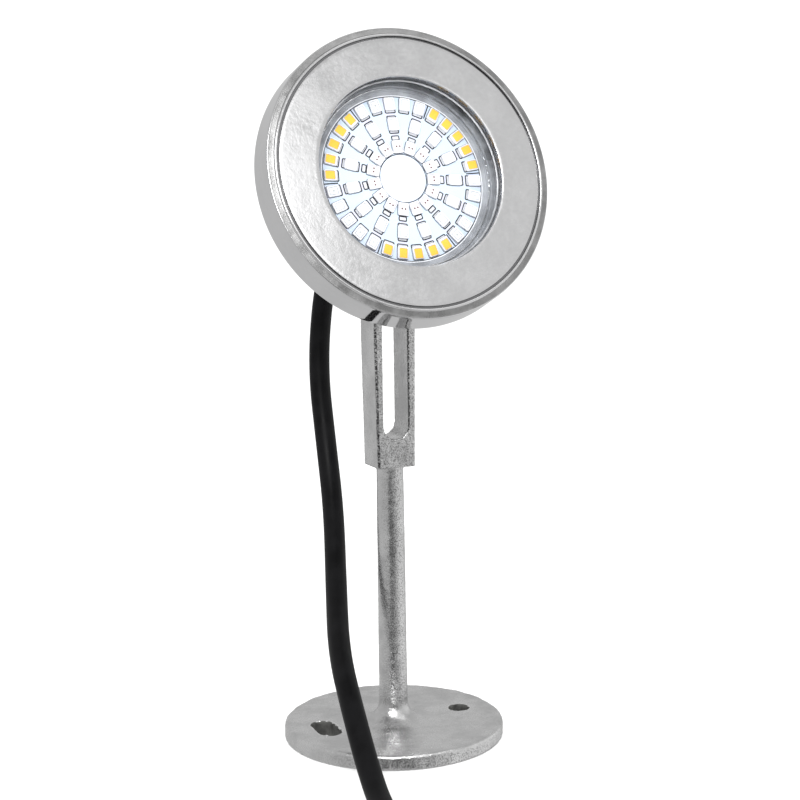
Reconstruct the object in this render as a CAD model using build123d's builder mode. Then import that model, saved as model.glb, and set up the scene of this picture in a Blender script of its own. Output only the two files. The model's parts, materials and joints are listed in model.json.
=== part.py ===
from build123d import *
import os
from math import cos, pi, radians, sin, tan

# Underwater pool light on a cast stand: a tilting lamp head, its pivot, and its supply cord.
# Millimetres and degrees. +Z is up, +X runs along the tilt pivot, the head looks towards -Y,
# and the origin is at the centre of the foot's underside.

# ---- foot and stem ----
foot_dia = 61.0
foot_thick = 4.23
foot_edge = 1.0            # rounding of the top rim
foot_sole_edge = 0.3       # chamfer of the bottom rim
anchor_pitch = 40.52       # between the two anchor holes, along X
anchor_hole_dia = 5.8
anchor_slot_width = 6.2
anchor_slot_length = 12.8
stem_top_dia = 7.4
stem_foot_dia = 8.0
stem_root = 5.4            # radius of the fillet into the foot
stem_neck = 0.7            # flare under the fork
stem_top = 76.24
spigot_dia = 5.0
spigot_length = 5.5

# ---- fork ----
fork_foot_width = 11.0     # along X, at the stem
fork_width = 12.0          # along X, at the prongs
fork_flare_top = 112.0     # where the flare ends
fork_depth = 10.2          # along Y
fork_web = 7.76            # solid metal under the slot
fork_slot_width = 7.3
fork_edge = 0.5

# ---- tilt pivot ----
pivot_height = 129.4
pivot_bolt_dia = 5.0
pivot_head_dia = pivot_bolt_dia + 2 * 1.75
pivot_head_height = 3.0
pivot_head_edge = 0.5
pivot_socket = 3.0         # across flats
pivot_socket_depth = 1.8
pivot_nut_flats = pivot_bolt_dia + 2 * 1.5
pivot_nut_height = 4.0
pivot_bolt_tail = 0.6      # thread past the nut
washer_dia = pivot_bolt_dia + 2 * 2.3
washer_thick = 1.0
pivot_clear = 0.08         # radial, bolt in lug and prongs
lug_clear = 0.15           # each side, lug in the fork's slot
lug_thick = fork_slot_width - 2 * lug_clear

# ---- lamp head ----
tilt = 18.05               # the face looks up by this much
pivot_drop = 19.91         # pivot below the head's axis
pivot_back = 6.60          # pivot behind the housing's rear face
opening_dia = 51.04        # of the bezel; the head's other diameters follow from it
opening_edge = 0.3
lip_thick = 2.0
glass_overlap = 3.48       # the glass past the opening, all round
glass_dia = opening_dia + 2 * glass_overlap
glass_thick = 3.0
glass_edge = 0.25
glass_clear = 0.1          # radial, in the bezel
glass_bore_dia = glass_dia + 2 * glass_clear
gasket_width = 2.9
gasket_thick = 0.4
board_ring_step = 2.72     # how far the board's ring shows inside the opening
board_ring_dia = opening_dia - 2 * board_ring_step
board_ring_height = 1.24
board_thick = 1.2
seal_section = 1.4
seal_land = 0.9            # metal between the glass and the O-ring's groove
seal_dia = glass_bore_dia + 2 * seal_land + seal_section
screw_count = 6
screw_dia = 2.5
screw_head_dia = 3.8
screw_head_height = 1.5
screw_socket = 1.66        # across flats
screw_socket_depth = 0.9
screw_clear = 0.1
screw_reach = 3.4          # into the bezel
screw_margin = 2.0         # from the screws' axes to the O-ring's groove and to the flange's rim
screw_pitch_dia = seal_dia + seal_section + 2 * screw_margin
housing_flange_dia = screw_pitch_dia + 2 * screw_margin
housing_flange_thick = 2.0
housing_flange_clear = 0.2
bezel_recess_dia = housing_flange_dia + 2 * housing_flange_clear
bezel_wall = 3.55          # metal round the recess, at the front edge
bezel_dia = bezel_recess_dia + 2 * bezel_wall
bezel_flare = 0.48
bezel_back_dia = bezel_dia + 2 * bezel_flare
bezel_depth = 9.84
bezel_round = 0.45         # the front edge's rounding
rim_width = 1.95           # the sloping band outside the bead
rim_drop = 0.55
rim_groove_inset = 2.85
rim_groove_dia = bezel_dia - 2 * rim_groove_inset
rim_groove_width = 0.5
rim_groove_depth = 0.4
housing_step = 0.5         # the housing's side inside the glass's edge
housing_dia = glass_dia - 2 * housing_step
housing_depth = 9.2        # behind the bezel
housing_corner = 3.0
housing_floor = 2.0
housing_mouth_wall = 1.9
housing_mouth_dia = housing_dia - 2 * housing_mouth_wall
housing_wall = 3.5
housing_bore_dia = housing_dia - 2 * housing_wall

# ---- lamp board and driver ----
led_width = 2.8
led_length = 3.4
led_height = 0.75
led_corner = 0.25
led_edge = 0.75            # from the outer LEDs to the board's ring
led_outer_step = 5.6       # between the outer and the middle ring of LEDs
led_inner_step = 6.2       # between the middle and the inner ring
led_outer_pitch = board_ring_dia / 2 - led_edge - led_length / 2   # radii, to the LEDs' middles
led_middle_pitch = led_outer_pitch - led_outer_step
led_inner_pitch = led_middle_pitch - led_inner_step
led_count = 15             # in the inner and the middle ring
led_angle = 21.0           # of the first LED of those rings, from +X
group_count = 6            # of outer LEDs
group_size = 5
group_angle = 9.0          # of the first outer LED
pad_thick = 0.56
spreader_thick = 2.0
spreader_clear = 0.2       # radial, in the housing's mouth
spreader_dia = housing_mouth_dia - 2 * spreader_clear
pad_inset = 1.9
pad_dia = spreader_dia - 2 * pad_inset
slot_long = 14.2           # passage for the link pins
slot_wide = 3.2
slot_offset = 12.0
link_pins_count = 5
link_pin_dia = 0.64
link_pin_pitch = 2.54
link_header_long = 13.2
link_header_wide = 2.4
link_header_gap = 0.2
driver_gap = 2.2           # between the spreader and the driver board
driver_thick = 1.0
driver_clear = 2.0         # radial, in the housing
driver_dia = housing_bore_dia - 2 * driver_clear
driver_screw_inset = 3.5
driver_screw_pitch = driver_dia / 2 - driver_screw_inset           # a radius
driver_screw_count = 3
driver_screw_dia = 2.0
driver_screw_head_dia = 3.4
driver_screw_head = 1.2
pillar_dia = 4.4
pillar_thread_depth = 2.4
chip_size = (6.0, 5.0, 1.4)
chip_at = (-7.7, -5.8)     # places on the driver board
bridge_size = (5.0, 4.0, 1.6)
bridge_at = (7.7, -5.8)
inductor_dia = 6.4
inductor_at = (0.0, -13.8)
capacitor_dia = 4.4
capacitors_at = [(-4.4, 14.7), (4.4, 14.7)]
part_height = 2.9          # of the tall parts behind the driver board
lead_dia = 1.1
lead_pitch = 2.4
lead_count = 2

# ---- cable gland, sized to its cord ----
cord_dia = 6.0
gland_thread_dia = cord_dia + 2 * 3.0
gland_clear = 0.05
gland_flats = gland_thread_dia + 2 * 1.0
gland_hex = 2.8
gland_collar_dia = gland_flats + 2 * 1.0
gland_collar = 1.2
gland_seal_dia = cord_dia + 2 * 1.6
gland_seal_length = 4.4
gland_neck_dia = gland_seal_dia + 2 * 0.6
gland_neck = 4.6
gland_length = 15.0        # from the housing's rear face to the mouth
gland_mouth_dia = cord_dia + 2 * 1.3
gland_cap_hex = 4.4
gland_ring_dia = (gland_thread_dia + gland_collar_dia) / 2
gland_ring_section = 1.0
gland_nut_flats = gland_thread_dia + 2 * 1.5
gland_nut = 2.3
gland_bore_clear = 0.15    # around the cord
gland_seal_clear = 0.02

# ---- cord ----
cord_inner_end = 1.84      # inside the housing, past the floor's inner face
cord_start_run = 12.5      # straight out of the gland
cord_route = [
    (-1.3, 36.3, 133.1), (-2.9, 42.0, 119.6), (-5.1, 41.0, 98.6), (-4.9, 36.0, 77.2),
    (-7.0, 25.4, 59.4), (-13.4, 8.0, 41.5), (-21.3, -13.5, 29.5), (-24.7, -31.5, 19.5),
    (-26.0, -45.0, 8.3), (-27.8, -58.0, 3.0), (-30.8, -77.0, 3.0), (-35.2, -97.0, 3.0),
    (-37.0, -118.0, 3.0), (-36.0, -137.0, 3.0),
]
coil_centre = (0.0, -137.0)
coil_mean_dia = 60.0
coil_width = 3 * cord_dia  # three turns side by side
coil_height = 2 * cord_dia
coil_edge = 2.9
tail_route = [
    (-34.8, -146.3, 9.0), (-31.0, -162.0, 6.8), (-21.8, -176.3, 5.2), (-7.0, -184.4, 7.1),
]

# ---- connector on the cord's far end, lying along +X ----
plug_at = (6.0, -184.4)
plug_tail_dia = cord_dia + 2 * 0.8
plug_shell_dia = 9.8
plug_grip_dia = plug_shell_dia + 2 * 1.1
plug_tail = 9.0            # lengths of the stepped body
plug_grip = 9.0
plug_shell = 20.0
plug_groove = 0.5
plug_groove_count = 4
plug_bore_dia = plug_shell_dia - 2 * 1.0
plug_bore_depth = 7.0
plug_ridge_dia = plug_shell_dia + 2 * 0.7
plug_ridge = 1.0
coupling_thread_dia = plug_ridge_dia + 2 * 0.6
coupling_dia = coupling_thread_dia + 2 * 0.8
coupling_length = 15.0
coupling_lip = 2.0
coupling_clear = 0.1
coupling_gap = 0.6         # end play of the nut
coupling_flutes = 20
flute_dia = 1.2
floor_gap = 0.1            # under the coupling nut
insert_thick = 2.0
contact_dia = 1.2
contact_pitch = 3.0
contact_count = 4
contact_angle = 45.0
contact_reach = 4.0
plug_ring_section = 1.1
plug_ring_at = 6.4         # from the shell's shoulder

# ---- places that follow from the sizes ----
up = Vector(0, sin(radians(tilt)), cos(radians(tilt)))        # the head's own up
out = Vector(0, -cos(radians(tilt)), sin(radians(tilt)))      # out of the lens
head_depth = bezel_depth + housing_depth
pivot = Vector(0, 0, pivot_height)
face_centre = pivot + up * pivot_drop + out * (pivot_back + head_depth)
head_axis = Axis(face_centre, out)
head_section = Plane(face_centre, x_dir=Vector(1, 0, 0), z_dir=Vector(1, 0, 0).cross(out))
glass_at = lip_thick + gasket_thick
ring_at = glass_at + glass_thick
board_at = ring_at + board_ring_height
flange_at = board_at + board_thick
pad_at = flange_at
spreader_at = pad_at + pad_thick
spreader_back = spreader_at + spreader_thick
driver_at = spreader_back + driver_gap
driver_back = driver_at + driver_thick
floor_at = head_depth - housing_floor
prong_end = fork_depth / 2
pieces = {}


def head_plane(depth):
    """A plane across the head, that far behind the bezel's front face, seen from the front."""
    return Plane(face_centre - out * depth, x_dir=(1, 0, 0), z_dir=out)


def ring_profile(inner_dia, outer_dia, front, back):
    """The closed half section of a plain ring of the head."""
    Polyline(
        (inner_dia / 2, -front), (outer_dia / 2, -front), (outer_dia / 2, -back),
        (inner_dia / 2, -back), close=True,
    )


def corner_radii(points, share=0.45):
    """The largest bend radius at each corner of a route that its two runs leave room for."""
    radii = []
    for before, at, after in zip(points, points[1:], points[2:]):
        first, second = Vector(at) - Vector(before), Vector(after) - Vector(at)
        turn = first.get_angle(second)
        shorter = min(first.length, second.length)
        radii.append(share * shorter / tan(radians(turn / 2)))
    return radii


# ---- stand ----
with BuildPart() as stand_base:
    with BuildSketch(Plane.XZ):
        with BuildLine():
            foot_r = foot_dia / 2
            root_r = stem_foot_dia / 2
            neck_r = stem_top_dia / 2
            Line((0, 0), (foot_r - foot_sole_edge, 0))
            Line((foot_r - foot_sole_edge, 0), (foot_r, foot_sole_edge))
            Line((foot_r, foot_sole_edge), (foot_r, foot_thick - foot_edge))
            TangentArc((foot_r, foot_thick - foot_edge), (foot_r - foot_edge, foot_thick), tangent=(0, 1))
            Line((foot_r - foot_edge, foot_thick), (root_r + stem_root, foot_thick))
            TangentArc((root_r + stem_root, foot_thick), (root_r, foot_thick + stem_root), tangent=(-1, 0))
            Line((root_r, foot_thick + stem_root), (neck_r, stem_top - stem_neck))
            Line((neck_r, stem_top - stem_neck), (neck_r + stem_neck, stem_top))
            Line((neck_r + stem_neck, stem_top), (spigot_dia / 2, stem_top))
            Line((spigot_dia / 2, stem_top), (spigot_dia / 2, stem_top + spigot_length))
            Line((spigot_dia / 2, stem_top + spigot_length), (0, stem_top + spigot_length))
            Line((0, stem_top + spigot_length), (0, 0))
        make_face()
    revolve(axis=Axis.Z)
    with Locations((anchor_pitch / 2, 0, foot_thick)):
        Hole(anchor_hole_dia / 2, depth=foot_thick)
    with BuildSketch(Plane.XY):
        with Locations((-anchor_pitch / 2, 0)):
            SlotOverall(anchor_slot_length, anchor_slot_width, rotation=90)
    extrude(amount=foot_thick, mode=Mode.SUBTRACT)
pieces["stand_base"] = stand_base

with BuildPart() as fork:
    fork_top = pivot_height + prong_end
    foot_half, prong_half = fork_foot_width / 2, fork_width / 2
    with BuildSketch(Plane.XZ):
        with BuildLine():
            Polyline(
                (-foot_half, stem_top), (foot_half, stem_top), (prong_half, fork_flare_top),
                (prong_half, fork_top), (-prong_half, fork_top), (-prong_half, fork_flare_top),
                close=True,
            )
        make_face()
    extrude(amount=fork_depth / 2, both=True)
    long_edges = fork.edges().filter_by(lambda e: e.length > fork_width and abs(e.center().Y) > fork_edge)
    fillet(long_edges, fork_edge)
    with BuildSketch(Plane.YZ):
        with Locations((0, (stem_top + pivot_height) / 2)):
            Rectangle(fork_depth, pivot_height - stem_top)
        with Locations((0, pivot_height)):
            Circle(prong_end)
    extrude(amount=fork_width, both=True, mode=Mode.INTERSECT)
    slot_floor = stem_top + fork_web
    slot_r = fork_slot_width / 2
    with BuildSketch(Plane.XZ):
        with BuildLine():
            Line((-slot_r, slot_floor + slot_r), (-slot_r, fork_top))
            Line((-slot_r, fork_top), (slot_r, fork_top))
            Line((slot_r, fork_top), (slot_r, slot_floor + slot_r))
            ThreePointArc((slot_r, slot_floor + slot_r), (0, slot_floor), (-slot_r, slot_floor + slot_r))
        make_face()
    extrude(amount=fork_depth, both=True, mode=Mode.SUBTRACT)
    with BuildSketch(Plane.YZ):
        with Locations((0, pivot_height)):
            Circle(pivot_bolt_dia / 2 + pivot_clear)
    extrude(amount=fork_width, both=True, mode=Mode.SUBTRACT)
    with BuildSketch(Plane.XY.offset(stem_top)):
        Circle(spigot_dia / 2)
    extrude(amount=spigot_length, mode=Mode.SUBTRACT)
pieces["fork"] = fork

# ---- tilt pivot ----
bolt_seat = fork_width / 2 + washer_thick
with BuildPart() as pivot_bolt:
    with BuildSketch(Plane.YZ.offset(-bolt_seat - pivot_nut_height - pivot_bolt_tail)):
        with Locations((0, pivot_height)):
            Circle(pivot_bolt_dia / 2)
    extrude(amount=2 * bolt_seat + pivot_nut_height + pivot_bolt_tail)
    with BuildSketch(Plane.YZ.offset(bolt_seat)):
        with Locations((0, pivot_height)):
            Circle(pivot_head_dia / 2)
    extrude(amount=pivot_head_height)
    fillet(pivot_bolt.faces().sort_by(Axis.X)[-1].edges(), pivot_head_edge)
    with BuildSketch(Plane.YZ.offset(bolt_seat + pivot_head_height)):
        with Locations((0, pivot_height)):
            RegularPolygon(pivot_socket / 2, 6, major_radius=False)
    extrude(amount=-pivot_socket_depth, mode=Mode.SUBTRACT)
pieces["pivot_bolt"] = pivot_bolt

with BuildPart() as pivot_washers:
    with BuildSketch(Plane.YZ.offset(fork_width / 2), Plane.YZ.offset(-bolt_seat)):
        with Locations((0, pivot_height)):
            Circle(washer_dia / 2)
            Circle(pivot_bolt_dia / 2 + pivot_clear, mode=Mode.SUBTRACT)
    extrude(amount=washer_thick)
pieces["pivot_washers"] = pivot_washers

with BuildPart() as pivot_nut:
    with BuildSketch(Plane.YZ.offset(-bolt_seat - pivot_nut_height)):
        with Locations((0, pivot_height)):
            RegularPolygon(pivot_nut_flats / 2, 6, major_radius=False)
            Circle(pivot_bolt_dia / 2, mode=Mode.SUBTRACT)
    extrude(amount=pivot_nut_height)
pieces["pivot_nut"] = pivot_nut

with BuildPart() as pivot_lug:
    lug_root = Plane(face_centre - out * head_depth - up * pivot_drop, x_dir=up, z_dir=(-1, 0, 0))
    with BuildSketch(lug_root):
        with Locations((0, pivot_back / 2)):
            Rectangle(2 * prong_end, pivot_back)
        with Locations((0, pivot_back)):
            Circle(prong_end)
            Circle(pivot_bolt_dia / 2 + pivot_clear, mode=Mode.SUBTRACT)
    extrude(amount=lug_thick / 2, both=True)
pieces["pivot_lug"] = pivot_lug

# ---- head shells ----
with BuildPart() as bezel_ring:
    with BuildSketch(head_section):
        with BuildLine():
            front_r, back_r, open_r = bezel_dia / 2, bezel_back_dia / 2, opening_dia / 2
            groove_out = (rim_groove_dia + rim_groove_width) / 2
            groove_in = (rim_groove_dia - rim_groove_width) / 2
            bead_r = front_r - rim_width
            ring_out = (seal_dia + seal_section) / 2
            ring_in = (seal_dia - seal_section) / 2
            recess_at = flange_at
            Polyline(
                (bead_r, 0), (groove_out, 0), (groove_out, -rim_groove_depth),
                (groove_in, -rim_groove_depth), (groove_in, 0), (open_r + opening_edge, 0),
                (open_r, -opening_edge), (open_r, -lip_thick), (glass_bore_dia / 2, -lip_thick),
                (glass_bore_dia / 2, -recess_at), (ring_in, -recess_at),
                (ring_in, -recess_at + seal_section), (ring_out, -recess_at + seal_section),
                (ring_out, -recess_at), (bezel_recess_dia / 2, -recess_at),
                (bezel_recess_dia / 2, -bezel_depth), (back_r, -bezel_depth),
                (front_r, -rim_drop - bezel_round), (front_r - bezel_round, -rim_drop), close=True,
            )
        make_face()
    revolve(axis=head_axis)
    with BuildSketch(head_plane(recess_at)):
        with PolarLocations(screw_pitch_dia / 2, screw_count):
            Circle(screw_dia / 2)
    extrude(amount=screw_reach, mode=Mode.SUBTRACT)
pieces["bezel_ring"] = bezel_ring

with BuildPart() as lens_gasket:
    with BuildSketch(head_section):
        with BuildLine():
            ring_profile(glass_dia - 2 * gasket_width, glass_dia, lip_thick, glass_at)
        make_face()
    revolve(axis=head_axis)
pieces["lens_gasket"] = lens_gasket

with BuildPart() as lens_glass:
    with BuildSketch(head_plane(ring_at)):
        Circle(glass_dia / 2)
    extrude(amount=glass_thick)
    chamfer(lens_glass.edges().filter_by(GeomType.CIRCLE), glass_edge)
pieces["lens_glass"] = lens_glass

with BuildPart() as board_ring:
    with BuildSketch(head_section):
        with BuildLine():
            ring_profile(board_ring_dia, glass_dia, ring_at, board_at)
        make_face()
    revolve(axis=head_axis)
pieces["board_ring"] = board_ring

with BuildPart() as housing_seal:
    with BuildSketch(head_section):
        with Locations((seal_dia / 2, -flange_at + seal_section / 2)):
            Circle(seal_section / 2)
    revolve(axis=head_axis)
pieces["housing_seal"] = housing_seal

with BuildPart() as rear_housing:
    with BuildSketch(head_section):
        with BuildLine():
            outer_r = housing_dia / 2
            flange_r = housing_flange_dia / 2
            flange_back = flange_at + housing_flange_thick
            Line((0, -head_depth), (outer_r - housing_corner, -head_depth))
            TangentArc(
                (outer_r - housing_corner, -head_depth), (outer_r, -head_depth + housing_corner),
                tangent=(1, 0),
            )
            Polyline(
                (outer_r, -head_depth + housing_corner), (outer_r, -flange_back),
                (flange_r, -flange_back), (flange_r, -flange_at), (housing_mouth_dia / 2, -flange_at),
                (housing_mouth_dia / 2, -spreader_back), (housing_bore_dia / 2, -spreader_back),
                (housing_bore_dia / 2, -floor_at), (0, -floor_at), (0, -head_depth),
            )
        make_face()
    revolve(axis=head_axis)
    with BuildSketch(head_plane(floor_at)):
        with PolarLocations(driver_screw_pitch, driver_screw_count):
            Circle(pillar_dia / 2)
    extrude(amount=floor_at - driver_back)
    with BuildSketch(head_plane(driver_back)):
        with PolarLocations(driver_screw_pitch, driver_screw_count):
            Circle(driver_screw_dia / 2)
    extrude(amount=-pillar_thread_depth, mode=Mode.SUBTRACT)
    with BuildSketch(head_plane(head_depth)):
        Circle(gland_thread_dia / 2 + gland_clear)
    extrude(amount=housing_floor, mode=Mode.SUBTRACT)
    with BuildSketch(head_plane(flange_back)):
        with PolarLocations(screw_pitch_dia / 2, screw_count):
            Circle(screw_dia / 2 + screw_clear)
    extrude(amount=housing_flange_thick, mode=Mode.SUBTRACT)
pieces["rear_housing"] = rear_housing

with BuildPart() as housing_screws:
    with BuildSketch(head_plane(flange_back)):
        with PolarLocations(screw_pitch_dia / 2, screw_count):
            Circle(screw_dia / 2)
    extrude(amount=housing_flange_thick + screw_reach)
    with BuildSketch(head_plane(flange_back)):
        with PolarLocations(screw_pitch_dia / 2, screw_count):
            Circle(screw_head_dia / 2)
    extrude(amount=-screw_head_height)
    with BuildSketch(head_plane(flange_back + screw_head_height)):
        with PolarLocations(screw_pitch_dia / 2, screw_count):
            RegularPolygon(screw_socket / 2, 6, major_radius=False)
    extrude(amount=screw_socket_depth, mode=Mode.SUBTRACT)
pieces["housing_screws"] = housing_screws

# ---- lamp board ----
with BuildPart() as led_board:
    with BuildSketch(head_plane(flange_at)):
        Circle(glass_dia / 2)
    extrude(amount=board_thick)
pieces["led_board"] = led_board


def led_ring(pitch, angles):
    """The rounded outlines of a ring of LEDs, each with its long side along a radius."""
    for angle in angles:
        with PolarLocations(pitch, 1, start_angle=angle):
            RectangleRounded(led_length, led_width, led_corner)


ring_angles = [led_angle + 360 / led_count * i for i in range(led_count)]
outer_step = 360 / (group_count * group_size)
outer_angles = [group_angle + outer_step * i for i in range(group_count * group_size)]
warm_angles = [a for i, a in enumerate(outer_angles) if i // group_size % 2 == 0]
clear_angles = [a for a in outer_angles if a not in warm_angles]
led_rings = {
    "leds_inner": (led_inner_pitch, ring_angles),
    "leds_middle": (led_middle_pitch, ring_angles),
    "leds_warm": (led_outer_pitch, warm_angles),
    "leds_clear": (led_outer_pitch, clear_angles),
}
for ring_name, (pitch, angles) in led_rings.items():
    with BuildPart() as leds:
        with BuildSketch(head_plane(board_at)):
            led_ring(pitch, angles)
        extrude(amount=led_height)
    pieces[ring_name] = leds

with BuildPart() as thermal_pad:
    with BuildSketch(head_plane(spreader_at)):
        Circle(pad_dia / 2)
        with Locations((0, slot_offset)):
            SlotOverall(slot_long, slot_wide, mode=Mode.SUBTRACT)
    extrude(amount=pad_thick)
pieces["thermal_pad"] = thermal_pad

with BuildPart() as heat_spreader:
    with BuildSketch(head_plane(spreader_back)):
        Circle(spreader_dia / 2)
        with Locations((0, slot_offset)):
            SlotOverall(slot_long, slot_wide, mode=Mode.SUBTRACT)
    extrude(amount=spreader_thick)
pieces["heat_spreader"] = heat_spreader

# ---- driver board and what is on it ----
with BuildPart() as driver_board:
    with BuildSketch(head_plane(driver_back)):
        Circle(driver_dia / 2)
        with PolarLocations(driver_screw_pitch, driver_screw_count):
            Circle(driver_screw_dia / 2 + screw_clear, mode=Mode.SUBTRACT)
    extrude(amount=driver_thick)
pieces["driver_board"] = driver_board

with BuildPart() as driver_screws:
    with BuildSketch(head_plane(driver_at)):
        with PolarLocations(driver_screw_pitch, driver_screw_count):
            Circle(driver_screw_head_dia / 2)
    extrude(amount=driver_screw_head)
    with BuildSketch(head_plane(driver_at)):
        with PolarLocations(driver_screw_pitch, driver_screw_count):
            Circle(driver_screw_dia / 2)
    extrude(amount=-driver_thick - pillar_thread_depth)
pieces["driver_screws"] = driver_screws

with BuildPart() as link_header:
    with BuildSketch(head_plane(driver_at)):
        with Locations((0, slot_offset)):
            Rectangle(link_header_long, link_header_wide)
    extrude(amount=driver_gap - link_header_gap)
pieces["link_header"] = link_header

with BuildPart() as link_pins:
    with BuildSketch(head_plane(spreader_back + link_header_gap)):
        with Locations((0, slot_offset)):
            with GridLocations(link_pin_pitch, 1, link_pins_count, 1):
                Circle(link_pin_dia / 2)
    extrude(amount=spreader_back + link_header_gap - flange_at)
pieces["link_pins"] = link_pins

with BuildPart() as driver_chip:
    with BuildSketch(head_plane(driver_at)):
        with Locations(chip_at):
            Rectangle(chip_size[0], chip_size[1])
    extrude(amount=chip_size[2])
pieces["driver_chip"] = driver_chip

with BuildPart() as driver_bridge:
    with BuildSketch(head_plane(driver_at)):
        with Locations(bridge_at):
            Rectangle(bridge_size[0], bridge_size[1])
    extrude(amount=bridge_size[2])
pieces["driver_bridge"] = driver_bridge

with BuildPart() as driver_inductor:
    with BuildSketch(head_plane(driver_back)):
        with Locations(inductor_at):
            Circle(inductor_dia / 2)
    extrude(amount=-part_height)
pieces["driver_inductor"] = driver_inductor

with BuildPart() as driver_capacitors:
    with BuildSketch(head_plane(driver_back)):
        with Locations(*capacitors_at):
            Circle(capacitor_dia / 2)
    extrude(amount=-part_height)
pieces["driver_capacitors"] = driver_capacitors

with BuildPart() as supply_leads:
    with BuildSketch(head_plane(driver_back)):
        with GridLocations(lead_pitch, 1, lead_count, 1):
            Circle(lead_dia / 2)
    extrude(amount=-(floor_at - cord_inner_end - driver_back))
pieces["supply_leads"] = supply_leads

# ---- cable gland ----
cord_bore = cord_dia / 2 + gland_bore_clear
collar_back = head_depth + gland_collar
hex_back = collar_back + gland_hex
neck_back = hex_back + gland_neck
mouth_at = head_depth + gland_length
seal_back = neck_back + gland_seal_clear
with BuildPart() as gland_body:
    with BuildSketch(head_plane(floor_at - gland_nut)):
        Circle(gland_thread_dia / 2)
    extrude(amount=-(housing_floor + gland_nut))
    with BuildSketch(head_plane(head_depth)):
        Circle(gland_collar_dia / 2)
    extrude(amount=-gland_collar)
    with BuildSketch(head_plane(collar_back)):
        RegularPolygon(gland_flats / 2, 6, major_radius=False)
    extrude(amount=-gland_hex)
    with BuildSketch(head_plane(hex_back)):
        Circle(gland_neck_dia / 2)
    extrude(amount=-gland_neck)
    with BuildSketch(head_plane(floor_at - gland_nut)):
        Circle(cord_bore)
    extrude(amount=-gland_length - gland_nut - housing_floor, mode=Mode.SUBTRACT)
    with BuildSketch(head_plane(neck_back)):
        Circle(gland_seal_dia / 2)
    extrude(amount=gland_seal_length, mode=Mode.SUBTRACT)
    with BuildSketch(head_plane(head_depth)):
        Circle((gland_ring_dia + gland_ring_section) / 2)
        Circle((gland_ring_dia - gland_ring_section) / 2, mode=Mode.SUBTRACT)
    extrude(amount=-gland_ring_section, mode=Mode.SUBTRACT)
pieces["gland_body"] = gland_body

with BuildPart() as gland_oring:
    with BuildSketch(head_section):
        with Locations((gland_ring_dia / 2, -head_depth - gland_ring_section / 2)):
            Circle(gland_ring_section / 2)
    revolve(axis=head_axis)
pieces["gland_oring"] = gland_oring

with BuildPart() as gland_locknut:
    with BuildSketch(head_plane(floor_at)):
        RegularPolygon(gland_nut_flats / 2, 6, major_radius=False)
        Circle(gland_thread_dia / 2, mode=Mode.SUBTRACT)
    extrude(amount=gland_nut)
pieces["gland_locknut"] = gland_locknut

with BuildPart() as gland_seal:
    with BuildSketch(head_section):
        with BuildLine():
            ring_profile(
                cord_dia + 2 * gland_seal_clear, gland_seal_dia, neck_back - gland_seal_length, neck_back
            )
        make_face()
    revolve(axis=head_axis)
pieces["gland_seal"] = gland_seal

with BuildPart() as gland_cap:
    cap_at = hex_back + gland_seal_clear
    with BuildSketch(head_plane(cap_at)):
        RegularPolygon(gland_flats / 2, 6, major_radius=False)
    extrude(amount=-gland_cap_hex)
    with BuildSketch(head_section):
        with BuildLine():
            dome_at, dome_r = cap_at + gland_cap_hex, gland_flats / 2
            Line((0, -dome_at), (dome_r, -dome_at))
            TangentArc((dome_r, -dome_at), (gland_mouth_dia / 2, -mouth_at), tangent=(0, -1))
            Line((gland_mouth_dia / 2, -mouth_at), (0, -mouth_at))
            Line((0, -mouth_at), (0, -dome_at))
        make_face()
    revolve(axis=head_axis)
    with BuildSketch(head_plane(cap_at)):
        Circle(gland_neck_dia / 2)
    extrude(amount=cap_at - seal_back, mode=Mode.SUBTRACT)
    with BuildSketch(head_plane(cap_at)):
        Circle(cord_bore)
    extrude(amount=cap_at - mouth_at, mode=Mode.SUBTRACT)
pieces["gland_cap"] = gland_cap

# ---- cord ----
with BuildPart() as cord_entry:
    with BuildSketch(head_plane(mouth_at)):
        Circle(cord_dia / 2)
    extrude(amount=mouth_at - floor_at + cord_inner_end)
pieces["cord_entry"] = cord_entry

mouth = face_centre - out * mouth_at
hanging_route = [tuple(mouth), tuple(mouth - out * cord_start_run)] + cord_route
hanging_radii = corner_radii(hanging_route)
with BuildPart() as cord_run:
    with BuildLine() as hanging_line:
        FilletPolyline(*hanging_route, radius=hanging_radii)
    with BuildSketch(Plane(mouth, z_dir=-out)):
        Circle(cord_dia / 2)
    sweep(path=hanging_line.line)
pieces["cord_run"] = cord_run

with BuildPart() as cord_coil:
    with BuildSketch(Plane.XZ.offset(-coil_centre[1])):
        with Locations((coil_centre[0] + coil_mean_dia / 2, coil_height / 2)):
            RectangleRounded(coil_width, coil_height, coil_edge)
    revolve(axis=Axis((coil_centre[0], coil_centre[1], 0), (0, 0, 1)))
pieces["cord_coil"] = cord_coil

plug_z = coupling_dia / 2 + floor_gap
tail_points = tail_route + [(plug_at[0], plug_at[1], plug_z)]
tail_radii = corner_radii(tail_points)
with BuildPart() as cord_tail:
    with BuildLine() as tail_line:
        FilletPolyline(*tail_points, radius=tail_radii)
    with BuildSketch(Plane(tail_line.line @ 0, z_dir=tail_line.line % 0)):
        Circle(cord_dia / 2)
    sweep(path=tail_line.line)
pieces["cord_tail"] = cord_tail

# ---- connector ----
plug_start = Vector(plug_at[0], plug_at[1], plug_z)
plug_axis = Axis(plug_start, (1, 0, 0))
plug_section = Plane(plug_start, x_dir=(1, 0, 0), z_dir=(0, -1, 0))
grip_at = plug_tail
shell_at = grip_at + plug_grip
plug_end = shell_at + plug_shell


def plug_plane(along):
    """A plane across the connector, that far from its rear end."""
    return Plane(plug_start + Vector(along, 0, 0), x_dir=(0, 1, 0), z_dir=(1, 0, 0))


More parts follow.
